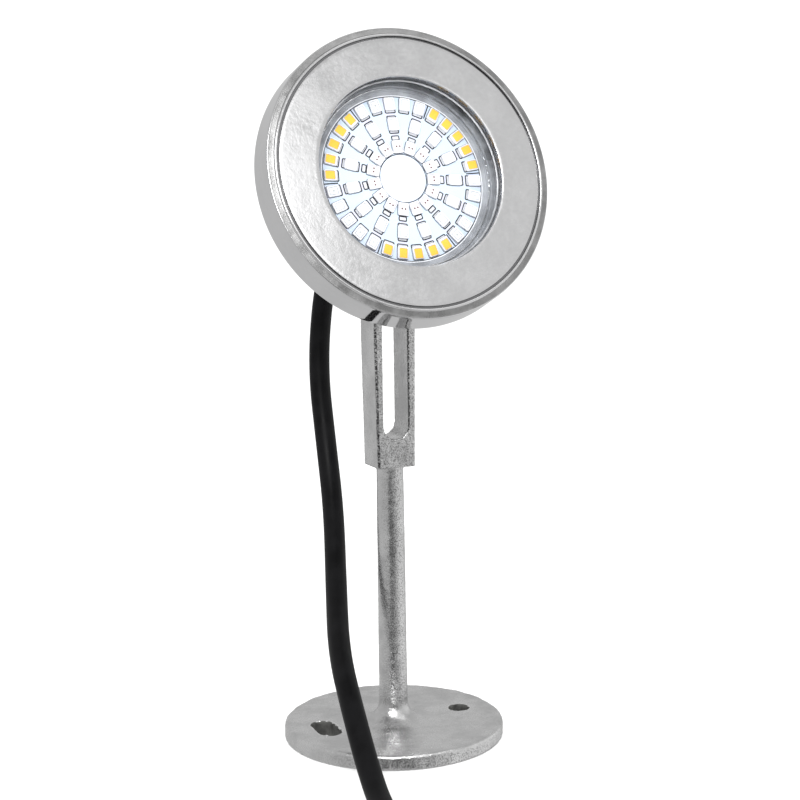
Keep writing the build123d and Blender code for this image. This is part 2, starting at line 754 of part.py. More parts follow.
with BuildPart() as connector_body:
    shell_r, grip_r, ridge_r = plug_shell_dia / 2, plug_grip_dia / 2, plug_ridge_dia / 2
    ridge_at = shell_at + coupling_gap + coupling_lip + coupling_gap
    ring_r = shell_r - plug_ring_section / 2
    ring_from = shell_at + plug_ring_at - plug_ring_section / 2
    with BuildSketch(plug_section):
        with BuildLine():
            Polyline(
                (0, 0), (0, plug_tail_dia / 2), (grip_at, grip_r - plug_groove), (grip_at, grip_r),
                (shell_at - plug_groove, grip_r), (shell_at, grip_r - plug_groove), (shell_at, shell_r),
                (ridge_at, shell_r), (ridge_at, ridge_r), (ridge_at + plug_ridge, ridge_r),
                (ridge_at + plug_ridge, shell_r), (ring_from, shell_r), (ring_from, ring_r),
                (ring_from + plug_ring_section, ring_r), (ring_from + plug_ring_section, shell_r),
                (plug_end, shell_r), (plug_end, plug_bore_dia / 2),
                (plug_end - plug_bore_depth, plug_bore_dia / 2), (plug_end - plug_bore_depth, 0),
                close=True,
            )
        make_face()
    revolve(axis=plug_axis)
    for i in range(1, plug_groove_count + 1):
        with BuildSketch(plug_plane(grip_at + plug_grip * i / (plug_groove_count + 1))):
            Circle(grip_r)
            Circle(grip_r - plug_groove, mode=Mode.SUBTRACT)
        extrude(amount=plug_groove, both=True, mode=Mode.SUBTRACT)
pieces["connector_body"] = connector_body

with BuildPart() as connector_oring:
    with BuildSketch(plug_section):
        with Locations((shell_at + plug_ring_at, shell_r)):
            Circle(plug_ring_section / 2)
    revolve(axis=plug_axis)
pieces["connector_oring"] = connector_oring

with BuildPart() as connector_insert:
    with BuildSketch(plug_plane(plug_end - plug_bore_depth)):
        Circle(plug_bore_dia / 2)
    extrude(amount=insert_thick)
pieces["connector_insert"] = connector_insert

with BuildPart() as connector_pins:
    with BuildSketch(plug_plane(plug_end - plug_bore_depth + insert_thick)):
        with PolarLocations(contact_pitch / 2, contact_count, start_angle=contact_angle):
            Circle(contact_dia / 2)
    extrude(amount=contact_reach)
pieces["connector_pins"] = connector_pins

with BuildPart() as coupling_nut:
    nut_at = shell_at + coupling_gap
    nut_end = nut_at + coupling_length
    with BuildSketch(plug_section):
        with BuildLine():
            nut_r, lip_r = coupling_dia / 2, plug_shell_dia / 2 + coupling_clear
            thread_r = coupling_thread_dia / 2
            Polyline(
                (nut_at, lip_r), (nut_at, nut_r - plug_groove), (nut_at + plug_groove, nut_r),
                (nut_end - plug_groove, nut_r), (nut_end, nut_r - plug_groove), (nut_end, thread_r),
                (nut_at + coupling_lip, thread_r), (nut_at + coupling_lip, lip_r), close=True,
            )
        make_face()
    revolve(axis=plug_axis)
    with BuildSketch(plug_plane(nut_at)):
        with PolarLocations(nut_r + flute_dia / 4, coupling_flutes, start_angle=180 / coupling_flutes):
            Circle(flute_dia / 2)
    extrude(amount=coupling_length, mode=Mode.SUBTRACT)
pieces["coupling_nut"] = coupling_nut

# ---- write every piece ----
os.makedirs("parts", exist_ok=True)
for name, piece in pieces.items():
    piece.part.label = name
    export_step(piece.part, f"parts/{name}.step")

print("cord bend radii:", [round(r, 1) for r in hanging_radii + tail_radii])
cord_section = pi / 4 * cord_dia**2
for name, line in (("cord_run", hanging_line), ("cord_tail", tail_line)):
    length = line.wire().length
    share = pieces[name].part.volume / (cord_section * length)
    print(f"{name}: {length:.1f} mm long, volume over section times length {share:.4f}")
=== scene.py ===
"""Looks of the underwater pool light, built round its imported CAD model.

A turned steel lamp head tilts on a cast stand. Its lens shows a round board with three rings of LEDs, and a
black rubber cord leaves its back, hangs behind the stem and ends in a coil and a connector. Everything is in
metres, in the frame of the CAD model: +Z is up, +X runs along the tilt pivot, and the head looks towards -Y.
"""

import json
import logging
import math
from collections.abc import Callable, Sequence
from dataclasses import dataclass, field
from enum import Enum

import bmesh
import bpy
import numpy as np
from mathutils import Matrix, Vector, noise

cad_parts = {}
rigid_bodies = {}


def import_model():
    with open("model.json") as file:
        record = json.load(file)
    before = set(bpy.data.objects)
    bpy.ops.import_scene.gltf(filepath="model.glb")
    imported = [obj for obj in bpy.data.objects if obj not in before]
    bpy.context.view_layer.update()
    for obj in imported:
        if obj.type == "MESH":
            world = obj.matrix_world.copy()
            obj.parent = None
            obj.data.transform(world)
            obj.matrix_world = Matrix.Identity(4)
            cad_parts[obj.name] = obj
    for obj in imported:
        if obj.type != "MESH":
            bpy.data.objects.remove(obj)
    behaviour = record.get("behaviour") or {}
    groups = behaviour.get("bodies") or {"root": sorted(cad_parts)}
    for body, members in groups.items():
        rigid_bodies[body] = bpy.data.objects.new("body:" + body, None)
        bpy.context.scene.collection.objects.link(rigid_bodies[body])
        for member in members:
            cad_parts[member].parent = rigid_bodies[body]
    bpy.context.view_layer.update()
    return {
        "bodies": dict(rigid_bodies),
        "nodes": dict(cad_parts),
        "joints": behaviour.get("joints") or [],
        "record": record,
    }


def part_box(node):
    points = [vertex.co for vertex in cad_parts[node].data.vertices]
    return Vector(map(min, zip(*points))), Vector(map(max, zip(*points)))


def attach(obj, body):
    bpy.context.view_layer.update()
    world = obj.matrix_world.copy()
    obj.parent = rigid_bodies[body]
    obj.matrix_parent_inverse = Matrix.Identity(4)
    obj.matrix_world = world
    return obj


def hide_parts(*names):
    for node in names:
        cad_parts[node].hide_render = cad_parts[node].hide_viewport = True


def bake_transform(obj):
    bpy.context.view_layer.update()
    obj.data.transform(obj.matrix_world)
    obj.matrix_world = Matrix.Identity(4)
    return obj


LOG = logging.getLogger("pool_light")
MM = 0.001
MERGE = 1e-7
SOLID_MERGE = 1e-6
ONE_GROUP = 1000
OVAL_POINTS = 10
BEZEL_SEGMENTS = 540
BEAD_SEGMENTS = 420
RING_SEGMENTS = 256
PRINT_SEGMENTS = 200
BOARD_SEGMENTS = 160
LENS_SEGMENTS = 128
DISC_SEGMENTS = 120
Colour = tuple[float, float, float]
Outline = list[tuple[float, float]]


class Body(Enum):
    """The CAD bodies that pieces ride on."""

    STAND = "stand"
    HEAD = "head"


# ---------------------------------------------------------------- shader nodes


class NodeSheet:
    """One material's nodes, laid out by short calls."""

    def __init__(self, name: str) -> None:
        """Starts an empty material.

        Args:
            name: the material's name.
        """
        self.material = bpy.data.materials.new(name)
        self.material.use_nodes = True
        self.tree = self.material.node_tree
        self.tree.nodes.clear()

    def add(self, kind: str, settings: dict[str, object] | None = None, **inputs: object) -> bpy.types.Node:
        """Adds a node and fills its inputs.

        Args:
            kind: the node's type, without its ShaderNode prefix.
            settings: attributes of the node itself.
            inputs: a value or an output socket for each input, by name with _ for a space, or in0, in1...

        Returns:
            The node.
        """
        node = self.tree.nodes.new(f"ShaderNode{kind}")
        for key, value in (settings or {}).items():
            setattr(node, key, value)
        for key, value in inputs.items():
            numbered = key[:2] == "in" and key[2:].isdigit()
            socket = node.inputs[int(key[2:])] if numbered else node.inputs[key.replace("_", " ")]
            if isinstance(value, bpy.types.NodeSocket):
                self.tree.links.new(value, socket)
            else:
                socket.default_value = value
        return node

    def math(self, operation: str, *values: object) -> bpy.types.NodeSocket:
        """The output of a Math node on up to three values."""
        inputs = {f"in{i}": value for i, value in enumerate(values)}
        return self.add("Math", {"operation": operation}, **inputs).outputs[0]

    def remap(
        self, value: object, low: float, high: float, to_low: float, to_high: float
    ) -> bpy.types.NodeSocket:
        """A value eased from one range to another.

        Args:
            value: the socket or number to map.
            low: where the first range starts.
            high: where it ends.
            to_low: what low becomes.
            to_high: what high becomes.

        Returns:
            The mapped value's socket.
        """
        node = self.add(
            "MapRange", {"interpolation_type": "SMOOTHSTEP"},
            in0=value, in1=low, in2=high, in3=to_low, in4=to_high,
        )
        return node.outputs[0]

    def place(self, centre: Vector | None = None, turn: Matrix | None = None) -> bpy.types.NodeSocket:
        """Object coordinates, read in a frame of their own where one is given.

        Args:
            centre: the frame's origin.
            turn: the frame's rotation.

        Returns:
            The coordinates' socket.
        """
        here = self.add("TexCoord").outputs["Object"]
        if centre is None or turn is None:
            return here
        mapping = self.add("Mapping", {"vector_type": "TEXTURE"}, Vector=here)
        mapping.inputs["Location"].default_value = centre
        mapping.inputs["Rotation"].default_value = turn.to_euler()
        return mapping.outputs[0]

    def noise(
        self, vector: object, scale: float, detail: float = 3.0, rough: float = 0.55
    ) -> bpy.types.NodeSocket:
        """Noise from 0 to 1.

        Args:
            vector: where to read it.
            scale: how many features there are in a metre.
            detail: octaves.
            rough: the weight of the finer octaves.

        Returns:
            The noise's socket.
        """
        node = self.add("TexNoise", Vector=vector, Scale=scale, Detail=detail, Roughness=rough)
        return node.outputs[0]

    def blend(self, share: object, first: object, second: object) -> bpy.types.NodeSocket:
        """Two colours mixed by a share from 0 to 1.

        Args:
            share: how much of the second colour there is, from 0 to 1.
            first: the colour at 0.
            second: the colour at 1.

        Returns:
            The mixed colour's socket.
        """
        node = self.add("Mix", {"data_type": "RGBA"}, in0=share)
        for socket, value in ((node.inputs[6], first), (node.inputs[7], second)):
            if isinstance(value, bpy.types.NodeSocket):
                self.tree.links.new(value, socket)
            else:
                socket.default_value = (*value, 1.0)
        return node.outputs[2]

    def bump(self, height: object, depth: float, strength: float = 1.0) -> bpy.types.NodeSocket:
        """A normal raised by a height from 0 to 1, of a depth in metres."""
        return self.add("Bump", Height=height, Distance=depth, Strength=strength).outputs[0]

    def surface(self, **inputs: object) -> bpy.types.Material:
        """Closes the material with a Principled shader of these inputs.

        Args:
            inputs: the shader's inputs, by name with _ for a space.

        Returns:
            The material.
        """
        shader = self.add("BsdfPrincipled", **inputs)
        self.add("OutputMaterial", Surface=shader.outputs[0])
        return self.material


def opaque(colour: Colour) -> tuple[float, float, float, float]:
    """A colour with full alpha."""
    return (*colour, 1.0)


# ---------------------------------------------------------------- finishes


@dataclass(frozen=True)
class CastSteel:
    """Investment-cast stainless steel: grainy, with shallow pits, and upward-facing edges painted bright,
    partly wear and partly a painted highlight.
    """

    name: str
    colour: Colour = (0.54, 0.54, 0.54)
    bright: Colour = (0.70, 0.70, 0.70)
    grain: float = 1700.0
    depth: float = 0.09 * MM
    smooth: float = 0.15
    rough: float = 0.30
    # colour of the bright upward edges: partly real wear, partly a painted highlight
    wear: Colour = (0.86, 0.86, 0.86)
    grime: Colour = (0.03, 0.03, 0.03)

    def make(self) -> bpy.types.Material:
        """Builds the material.

        Returns:
            The material.
        """
        sheet = NodeSheet(self.name)
        here = sheet.place()
        grain = sheet.noise(here, self.grain, 4.0, 0.7)
        patches = sheet.noise(here, self.grain / 12, 3.0)
        fine = sheet.noise(here, self.grain * 1.7, 3.0, 0.6)
        wear_and_highlight = sheet.add("Attribute", {"attribute_name": "wear_and_highlight"}).outputs["Fac"]
        gritty = sheet.add("Attribute", {"attribute_name": "grit"}).outputs["Fac"]
        grimy = sheet.add("Attribute", {"attribute_name": "grime"}).outputs["Fac"]
        tone = sheet.blend(sheet.remap(patches, 0.3, 0.7, 0.0, 1.0), self.colour, self.bright)
        pits = sheet.math("MULTIPLY", gritty, sheet.remap(fine, 0.38, 0.54, 1.0, 0.0))
        tone = sheet.blend(pits, tone, tuple(c * 0.25 for c in self.colour))
        # upward convex edges brightened towards the wear colour: partly wear, partly a painted highlight
        rubbed_and_highlit = sheet.math("MULTIPLY", wear_and_highlight, sheet.remap(grain, 0.35, 0.6, 0.0, 1.0))
        tone = sheet.blend(rubbed_and_highlit, tone, self.wear)
        chain = sheet.math("MULTIPLY", grimy, sheet.remap(fine, 0.47, 0.60, 1.0, 0.0))
        tone = sheet.blend(chain, tone, self.grime)
        rough = sheet.remap(sheet.math("ADD", grain, patches), 0.7, 1.3, self.smooth, self.rough)
        return sheet.surface(
            Base_Color=tone, Metallic=1.0, Roughness=rough, Normal=sheet.bump(grain, self.depth)
        )


@dataclass(frozen=True)
class TurnedSteel:
    """Stainless steel off a lathe: fine rings about the head's axis, lightly smeared by polishing."""

    name: str
    centre: Vector
    turn: Matrix
    colour: Colour = (0.70, 0.70, 0.705)
    pitch: float = 0.16 * MM
    depth: float = 0.0012 * MM
    smooth: float = 0.08
    rough: float = 0.20
    smear: float = 0.055 * MM
    ripple: float = 0.012 * MM
    smear_scale: float = 90.0
    cloud_scale: float = 800.0

    def make(self) -> bpy.types.Material:
        """Builds the material.

        Returns:
            The material.
        """
        sheet = NodeSheet(self.name)
        here = sheet.place(self.centre, self.turn)
        apart = sheet.add("SeparateXYZ", Vector=here)
        flat = sheet.add("CombineXYZ", X=apart.outputs[0], Y=apart.outputs[1])
        radius = sheet.add("VectorMath", {"operation": "LENGTH"}, in0=flat.outputs[0]).outputs["Value"]
        angle = sheet.math("ARCTAN2", apart.outputs[1], apart.outputs[0])
        along = sheet.math("ADD", radius, apart.outputs[2])
        rings = sheet.add("CombineXYZ", X=sheet.math("MULTIPLY", along, 1 / self.pitch), Y=angle).outputs[0]
        lines = sheet.noise(rings, 1.0, 2.0, 0.6)
        smears = sheet.noise(here, self.smear_scale, 5.0, 0.65)
        cloud = sheet.noise(here, self.cloud_scale, 4.0, 0.7)
        wear = sheet.math("ADD", sheet.math("MULTIPLY", smears, 0.6), sheet.math("MULTIPLY", cloud, 0.4))
        rough = sheet.remap(wear, 0.35, 0.65, self.smooth, self.rough)
        tone = sheet.blend(
            sheet.remap(wear, 0.3, 0.7, 0.0, 1.0), tuple(c * 0.93 for c in self.colour), self.colour
        )
        fine = sheet.bump(lines, self.depth)
        wavy = sheet.add("Bump", Height=smears, Distance=self.smear, Normal=fine).outputs[0]
        normal = sheet.add("Bump", Height=cloud, Distance=self.ripple, Normal=wavy).outputs[0]
        return sheet.surface(Base_Color=tone, Metallic=1.0, Roughness=rough, Normal=normal)


@dataclass(frozen=True)
class Moulded:
    """A dull or glossy surface with a fine grain: rubber, plastic, paint, ceramic or bare metal."""

    name: str
    colour: Colour
    rough: float = 0.5
    metal: float = 0.0
    coat: float = 0.0
    gloss: float = 0.5
    grain: float = 1800.0
    depth: float = 0.006 * MM
    vary: float = 0.15

    def make(self) -> bpy.types.Material:
        """Builds the material.

        Returns:
            The material.
        """
        sheet = NodeSheet(self.name)
        here = sheet.place()
        grain = sheet.noise(here, self.grain, 3.0, 0.6)
        patches = sheet.noise(here, self.grain / 9, 3.0)
        dark = tuple(c * (1 - self.vary) for c in self.colour)
        light = tuple(min(1.0, c * (1 + self.vary)) for c in self.colour)
        tone = sheet.blend(sheet.remap(patches, 0.3, 0.7, 0.0, 1.0), dark, light)
        rough = sheet.remap(patches, 0.3, 0.7, self.rough * 0.85, min(1.0, self.rough * 1.15))
        return sheet.surface(
            Base_Color=tone, Metallic=self.metal, Roughness=rough, Coat_Weight=self.coat,
            Specular_IOR_Level=self.gloss, Normal=sheet.bump(grain, self.depth),
        )


@dataclass(frozen=True)
class LampGlass:
    """Clear flat glass that lets the lamp board show and mirrors a little of the studio."""

    name: str
    tint: Colour = (0.985, 0.99, 0.995)
    mirror: Colour = (0.8, 0.8, 0.82)
    straight: float = 0.02
    grazing: float = 0.45
    rough: float = 0.03

    def make(self) -> bpy.types.Material:
        """Builds the material.

        Returns:
            The material.
        """
        sheet = NodeSheet(self.name)
        gloss = sheet.add("BsdfGlossy", Color=opaque(self.mirror), Roughness=self.rough)
        clear = sheet.add("BsdfTransparent", Color=opaque(self.tint))
        slant = sheet.add("LayerWeight", Blend=0.5).outputs["Facing"]
        rise = sheet.math("MULTIPLY", sheet.math("POWER", slant, 4.0), self.grazing)
        share = sheet.math("ADD", rise, self.straight)
        mixed = sheet.add("MixShader", in0=share, in1=clear.outputs[0], in2=gloss.outputs[0])
        sheet.add("OutputMaterial", Surface=mixed.outputs[0])
        return sheet.material


@dataclass(frozen=True)
class BoardMask:
    """The lamp board's solder mask: pale blue, with a lilac cast along the spokes that carry LEDs."""

    name: str
    centre: Vector
    turn: Matrix
    spokes: int
    first_spoke: float
    sky: Colour = (0.61, 0.71, 0.83)
    lilac: Colour = (0.68, 0.66, 0.80)

    def make(self) -> bpy.types.Material:
        """Builds the material.

        Returns:
            The material.
        """
        sheet = NodeSheet(self.name)
        here = sheet.place(self.centre, self.turn)
        apart = sheet.add("SeparateXYZ", Vector=here)
        angle = sheet.math("ARCTAN2", apart.outputs[1], apart.outputs[0])
        turned = sheet.math("MULTIPLY", sheet.math("SUBTRACT", angle, self.first_spoke), float(self.spokes))
        spoke = sheet.remap(sheet.math("COSINE", turned), -0.2, 1.0, 0.0, 1.0)
        mottle = sheet.noise(here, 160.0, 3.0)
        share = sheet.math("MULTIPLY", spoke, sheet.remap(mottle, 0.3, 0.7, 0.5, 1.0))
        tone = sheet.blend(share, self.sky, self.lilac)
        grain = sheet.noise(here, 2500.0, 2.0)
        return sheet.surface(
            Base_Color=tone, Roughness=0.42, Coat_Weight=0.15, Normal=sheet.bump(grain, 0.004 * MM)
        )


@dataclass(frozen=True)
class LedFill:
    """What fills an LED's cup: phosphor or clear resin, a little different in every LED."""

    name: str
    colour: Colour
    other: Colour
    rough: float = 0.35

    def make(self) -> bpy.types.Material:
        """Builds the material.

        Returns:
            The material.
        """
        sheet = NodeSheet(self.name)
        shade = sheet.add("Attribute", {"attribute_name": "shade"}).outputs["Fac"]
        speck = sheet.noise(sheet.place(), 2600.0, 3.0, 0.6)
        share = sheet.math("MULTIPLY", sheet.math("ADD", shade, speck), 0.5)
        tone = sheet.blend(share, self.colour, self.other)
        rough = sheet.remap(speck, 0.3, 0.7, self.rough * 0.7, self.rough * 1.3)
        return sheet.surface(
            Base_Color=tone, Roughness=rough, Coat_Weight=0.1, Normal=sheet.bump(speck, 0.01 * MM)
        )


# ---------------------------------------------------------------- mesh tools


def corner_arc(
    before: Vector, at: Vector, after: Vector, radius: float, steps: int
) -> list[tuple[float, float]]:
    """The arc that rounds one corner of an outline.

    Args:
        before: the corner before it.
        at: the corner.
        after: the corner after it.
        radius: the arc's radius, or 0 for a sharp corner.
        steps: how many pieces the arc has.

    Returns:
        The points that replace the corner.
    """
    if radius <= 0:
        return [tuple(at)]
    back, on = (before - at).normalized(), (after - at).normalized()
    half = back.angle(on) / 2
    reach = radius / math.tan(half)
    centre = at + (back + on).normalized() * radius / math.sin(half)
    start, end = at + back * reach - centre, at + on * reach - centre
    sweep = math.pi - 2 * half
    side = 1.0 if start.x * end.y - start.y * end.x > 0 else -1.0
    turns = [Matrix.Rotation(side * sweep * i / steps, 2) for i in range(steps + 1)]
    return [tuple(centre + turn @ start) for turn in turns]


def rounded(corners: Sequence[tuple[float, float, float]], steps: int = 4) -> Outline:
    """A closed outline with its corners rounded.

    Args:
        corners: each corner as across, along and the radius of its rounding.
        steps: how many pieces an arc has.

    Returns:
        The outline's points.
    """
    points = [Vector(corner[:2]) for corner in corners]
    outline: Outline = []
    for i, corner in enumerate(corners):
        after = points[(i + 1) % len(points)]
        outline += corner_arc(points[i - 1], points[i], after, corner[2], steps)
    return outline


def linked(name: str, data: bpy.types.ID) -> bpy.types.Object:
    """Puts a new object in the scene.

    Args:
        name: the object's name.
        data: its mesh, curve, light or camera.

    Returns:
        The object.
    """
    thing = bpy.data.objects.new(name, data)
    bpy.context.collection.objects.link(thing)
    return thing


def new_object(name: str, mesh: bpy.types.Mesh, sharp: float = 35.0) -> bpy.types.Object:
    """Puts a mesh in the scene, smooth but for edges sharper than an angle in degrees.

    Args:
        name: the object's name.
        mesh: its mesh.
        sharp: the angle in degrees from which an edge stays sharp.

    Returns:
        The object.
    """
    mesh.shade_smooth()
    mesh.set_sharp_from_angle(angle=math.radians(sharp))
    return linked(name, mesh)


def mesh_from(
    name: str, points: Sequence[Sequence[float]], faces: Sequence[Sequence[int]]
) -> bpy.types.Mesh:
    """A mesh of these points and faces, its doubles merged and its faces turned outwards.

    Args:
        name: the mesh's name.
        points: its points.
        faces: its faces, as lists of point numbers.

    Returns:
        The mesh.
    """
    mesh = bpy.data.meshes.new(name)
    mesh.from_pydata([tuple(p) for p in points], [], [tuple(f) for f in faces])
    work = bmesh.new()
    work.from_mesh(mesh)
    bmesh.ops.remove_doubles(work, verts=work.verts, dist=MERGE)
    bmesh.ops.recalc_face_normals(work, faces=work.faces)
    work.to_mesh(mesh)
    work.free()
    return mesh


def lathe(name: str, outline: Outline, place: Matrix, segments: int = 192) -> bpy.types.Object:
    """Turns a closed outline of radius and height about the third axis of a frame.

    Args:
        name: the new object's name.
        outline: the outline's points; those at radius 0 become poles.
        place: the frame.
        segments: how many pieces the turn has.

    Returns:
        The object.
    """
    count = len(outline)
    points = [
        place @ Vector((r * math.cos(a), r * math.sin(a), z))
        for a in np.linspace(0, 2 * math.pi, segments, endpoint=False)
        for r, z in outline
    ]
    faces = []
    for s in range(segments):
        here, there = s * count, (s + 1) % segments * count
        for i in range(count):
            j = (i + 1) % count
            if outline[i][0] == 0 and outline[j][0] == 0:
                continue
            ring = [here + i, here + j, there + j, there + i]
            if outline[i][0] == 0:
                ring = ring[:3]
            elif outline[j][0] == 0:
                ring = [ring[0], ring[1], ring[3]]
            faces.append(ring)
    return new_object(name, mesh_from(name, points, faces))


def loft(name: str, layers: Sequence[Sequence[Sequence[float]]], closed: bool = False) -> bpy.types.Object:
    """Joins outlines of the same count into one shell, with a cap on each end or as a closed loop.

    Args:
        name: the new object's name.
        layers: the outlines, each a ring of points.
        closed: whether the last outline joins the first instead of each having a cap.

    Returns:
        The object.
    """
    count = len(layers[0])
    points = [point for layer in layers for point in layer]
    faces = []
    for k in range(len(layers) if closed else len(layers) - 1):
        low, high = k * count, (k + 1) % len(layers) * count
        faces += [(low + i, low + (i + 1) % count, high + (i + 1) % count, high + i) for i in range(count)]
    if not closed:
        faces += [range(count), range((len(layers) - 1) * count, len(layers) * count)]
    return new_object(name, mesh_from(name, points, faces), 30.0)


def slab(long: float, wide: float, corner: float, height: float, steps: int = 2) -> list[Vector]:
    """A rounded rectangle's outline at a height, its long side along X.

    Args:
        long: its length along X.
        wide: its width along Y.
        corner: the corners' radius.
        height: where it lies.
        steps: how many pieces a corner has.

    Returns:
        The outline's points.
    """
    a, b = long / 2, wide / 2
    outline = rounded([(-a, -b, corner), (a, -b, corner), (a, b, corner), (-a, b, corner)], steps)
    return [Vector((x, y, height)) for x, y in outline]


def oval(middle: Vector, across: float, along: float) -> Outline:
    """A small oval outline, for a wire or a bead that a lathe turns.

    Args:
        middle: its middle, as radius and height.
        across: half its width.
        along: half its height.

    Returns:
        The outline's points.
    """
    angles = np.linspace(0, 2 * math.pi, OVAL_POINTS, endpoint=False)
    return [(middle.x + across * math.cos(a), middle.y + along * math.sin(a)) for a in angles]


def moved(points: Sequence[Vector], by: Vector) -> list[Vector]:
    """An outline shifted by a vector."""
    return [point + by for point in points]


def evaluated_mesh(thing: bpy.types.Object) -> bpy.types.Mesh:
    """A plain mesh of an object with its modifiers applied."""
    graph = bpy.context.evaluated_depsgraph_get()
    return bpy.data.meshes.new_from_object(thing.evaluated_get(graph), depsgraph=graph)


def joined(name: str, parts: Sequence[bpy.types.Object]) -> bpy.types.Object:
    """One object of several, whose meshes keep their places and materials.

    Args:
        name: the new object's name.
        parts: the objects, which are used up.

    Returns:
        The new object.
    """
    work = bmesh.new()
    mesh = bpy.data.meshes.new(name)
    for part in parts:
        first = len(mesh.materials)
        for material in part.data.materials:
            mesh.materials.append(material)
        start = len(work.faces)
        work.from_mesh(part.data)
        work.faces.ensure_lookup_table()
        for face in work.faces[start:]:
            face.material_index += first
    work.to_mesh(mesh)
    work.free()
    for part in parts:
        bpy.data.objects.remove(part)
    return linked(name, mesh)


def dressed(thing: bpy.types.Object, material: bpy.types.Material) -> bpy.types.Object:
    """Gives an object one material.

    Args:
        thing: the object.
        material: its only material.

    Returns:
        The same object.
    """
    thing.data.materials.clear()
    thing.data.materials.append(material)
    return thing


# ---------------------------------------------------------------- rings of parts


@dataclass
class Ring:
    """Where the copies of a part stand about an axis: evenly, or in groups with gaps between them."""

    count: int
    radius: float
    first: float
    step: float
    height: float = 0.0
    group: int = ONE_GROUP
    group_step: float = 0.0
    seed: int = 7


class RingPattern:
    """Geometry Nodes that copy one part round an axis."""

    def __init__(self, place: Matrix) -> None:
        """Builds the tree.

        Args:
            place: the frame whose third axis the copies stand about.
        """
        self.place = place
        self.tree = bpy.data.node_groups.new("RingPattern", "GeometryNodeTree")
        self.sockets: dict[str, str] = {}
        self._interface()
        self._wire()

    def _interface(self) -> None:
        kinds = {
            "Part": "Geometry", "Count": "Int", "Radius": "Float", "Height": "Float", "First Angle": "Float",
            "Step": "Float", "Group": "Int", "Group Step": "Float", "Seed": "Int", "Centre": "Vector",
            "Turn": "Vector", "Finish": "Material",
        }
        for name, kind in kinds.items():
            socket = self.tree.interface.new_socket(name, in_out="INPUT", socket_type=f"NodeSocket{kind}")
            self.sockets[name] = socket.identifier
        self.tree.interface.new_socket("Parts", in_out="OUTPUT", socket_type="NodeSocketGeometry")

    def _node(self, kind: str, operation: str | None = None, *values: object) -> bpy.types.Node:
        """Adds a node, with its operation and its first inputs.

        Args:
            kind: the node's type.
            operation: its operation, where it has one.
            values: a value or an output socket for each of its first inputs.

        Returns:
            The node.
        """
        node = self.tree.nodes.new(kind)
        if operation:
            node.operation = operation
        for i, value in enumerate(values):
            if isinstance(value, bpy.types.NodeSocket):
                self.tree.links.new(value, node.inputs[i])
            else:
                node.inputs[i].default_value = value
        return node

    def _math(self, operation: str, *values: object) -> bpy.types.NodeSocket:
        """The output of a Math node."""
        return self._node("ShaderNodeMath", operation, *values).outputs[0]

    def _wire(self) -> None:
        """Joins the nodes: points on the ring, a part on each, a shade for each, and the finish."""
        given = self._node("NodeGroupInput").outputs
        index = self._node("GeometryNodeInputIndex").outputs[0]
        in_group = self._math("MULTIPLY", self._math("MODULO", index, given["Group"]), given["Step"])
        whole = self._math("FLOOR", self._math("DIVIDE", index, given["Group"]))
        of_groups = self._math("MULTIPLY", whole, given["Group Step"])
        angle = self._math("ADD", self._math("ADD", in_group, of_groups), given["First Angle"])
        x = self._math("MULTIPLY", self._math("COSINE", angle), given["Radius"])
        y = self._math("MULTIPLY", self._math("SINE", angle), given["Radius"])
        at = self._node("ShaderNodeCombineXYZ", None, x, y, given["Height"]).outputs[0]
        turn = self._node("ShaderNodeCombineXYZ", None, 0.0, 0.0, angle).outputs[0]
        points = self._node("GeometryNodePoints", None, given["Count"], at)
        copies = self._node("GeometryNodeInstanceOnPoints")
        self.tree.links.new(points.outputs[0], copies.inputs["Points"])
        self.tree.links.new(given["Part"], copies.inputs["Instance"])
        self.tree.links.new(turn, copies.inputs["Rotation"])
        chance = self._node("FunctionNodeRandomValue")
        self.tree.links.new(given["Seed"], chance.inputs["Seed"])
        shade = self._node("GeometryNodeStoreNamedAttribute")
        shade.data_type, shade.domain = "FLOAT", "INSTANCE"
        shade.inputs["Name"].default_value = "shade"
        self.tree.links.new(copies.outputs[0], shade.inputs["Geometry"])
        self.tree.links.new(chance.outputs[1], shade.inputs["Value"])
        whole_ring = self._node("GeometryNodeRealizeInstances", None, shade.outputs[0])
        placed = self._node("GeometryNodeTransform", None, whole_ring.outputs[0])
        self.tree.links.new(given["Centre"], placed.inputs["Translation"])
        self.tree.links.new(given["Turn"], placed.inputs["Rotation"])
        finished = self._node("GeometryNodeSetMaterial", None, placed.outputs[0])
        self.tree.links.new(given["Finish"], finished.inputs["Material"])
        out = self._node("NodeGroupOutput")
        self.tree.links.new(finished.outputs[0], out.inputs[0])

    def copies(self, part: bpy.types.Object, ring: Ring, finish: bpy.types.Material) -> bpy.types.Object:
        """Copies a part round the ring and replaces it with the plain mesh of them all.

        Args:
            part: the part, its X axis pointing away from the ring's centre.
            ring: where the copies stand.
            finish: their material.

        Returns:
            The finished object, which keeps the part's name.
        """
        modifier = part.modifiers.new("ring", "NODES")
        modifier.node_group = self.tree
        values = {
            "Count": ring.count, "Radius": ring.radius, "Height": ring.height, "First Angle": ring.first,
            "Step": ring.step, "Group": ring.group, "Group Step": ring.group_step, "Seed": ring.seed,
            "Centre": tuple(self.place.translation), "Turn": tuple(self.place.to_euler()), "Finish": finish,
        }
        for name, value in values.items():
            modifier[self.sockets[name]] = value
        mesh = evaluated_mesh(part)
        part.modifiers.clear()
        part.data = mesh
        return part


# ---------------------------------------------------------------- lamp head


class BezelZone(Enum):
    """The bezel's finishes, by their material slots."""

    FACE = 0
    RIM = 1
    # the bore and the groove: the same turned steel painted dark, a painted shade
    PAINTED_SHADE = 2
    WALL = 3


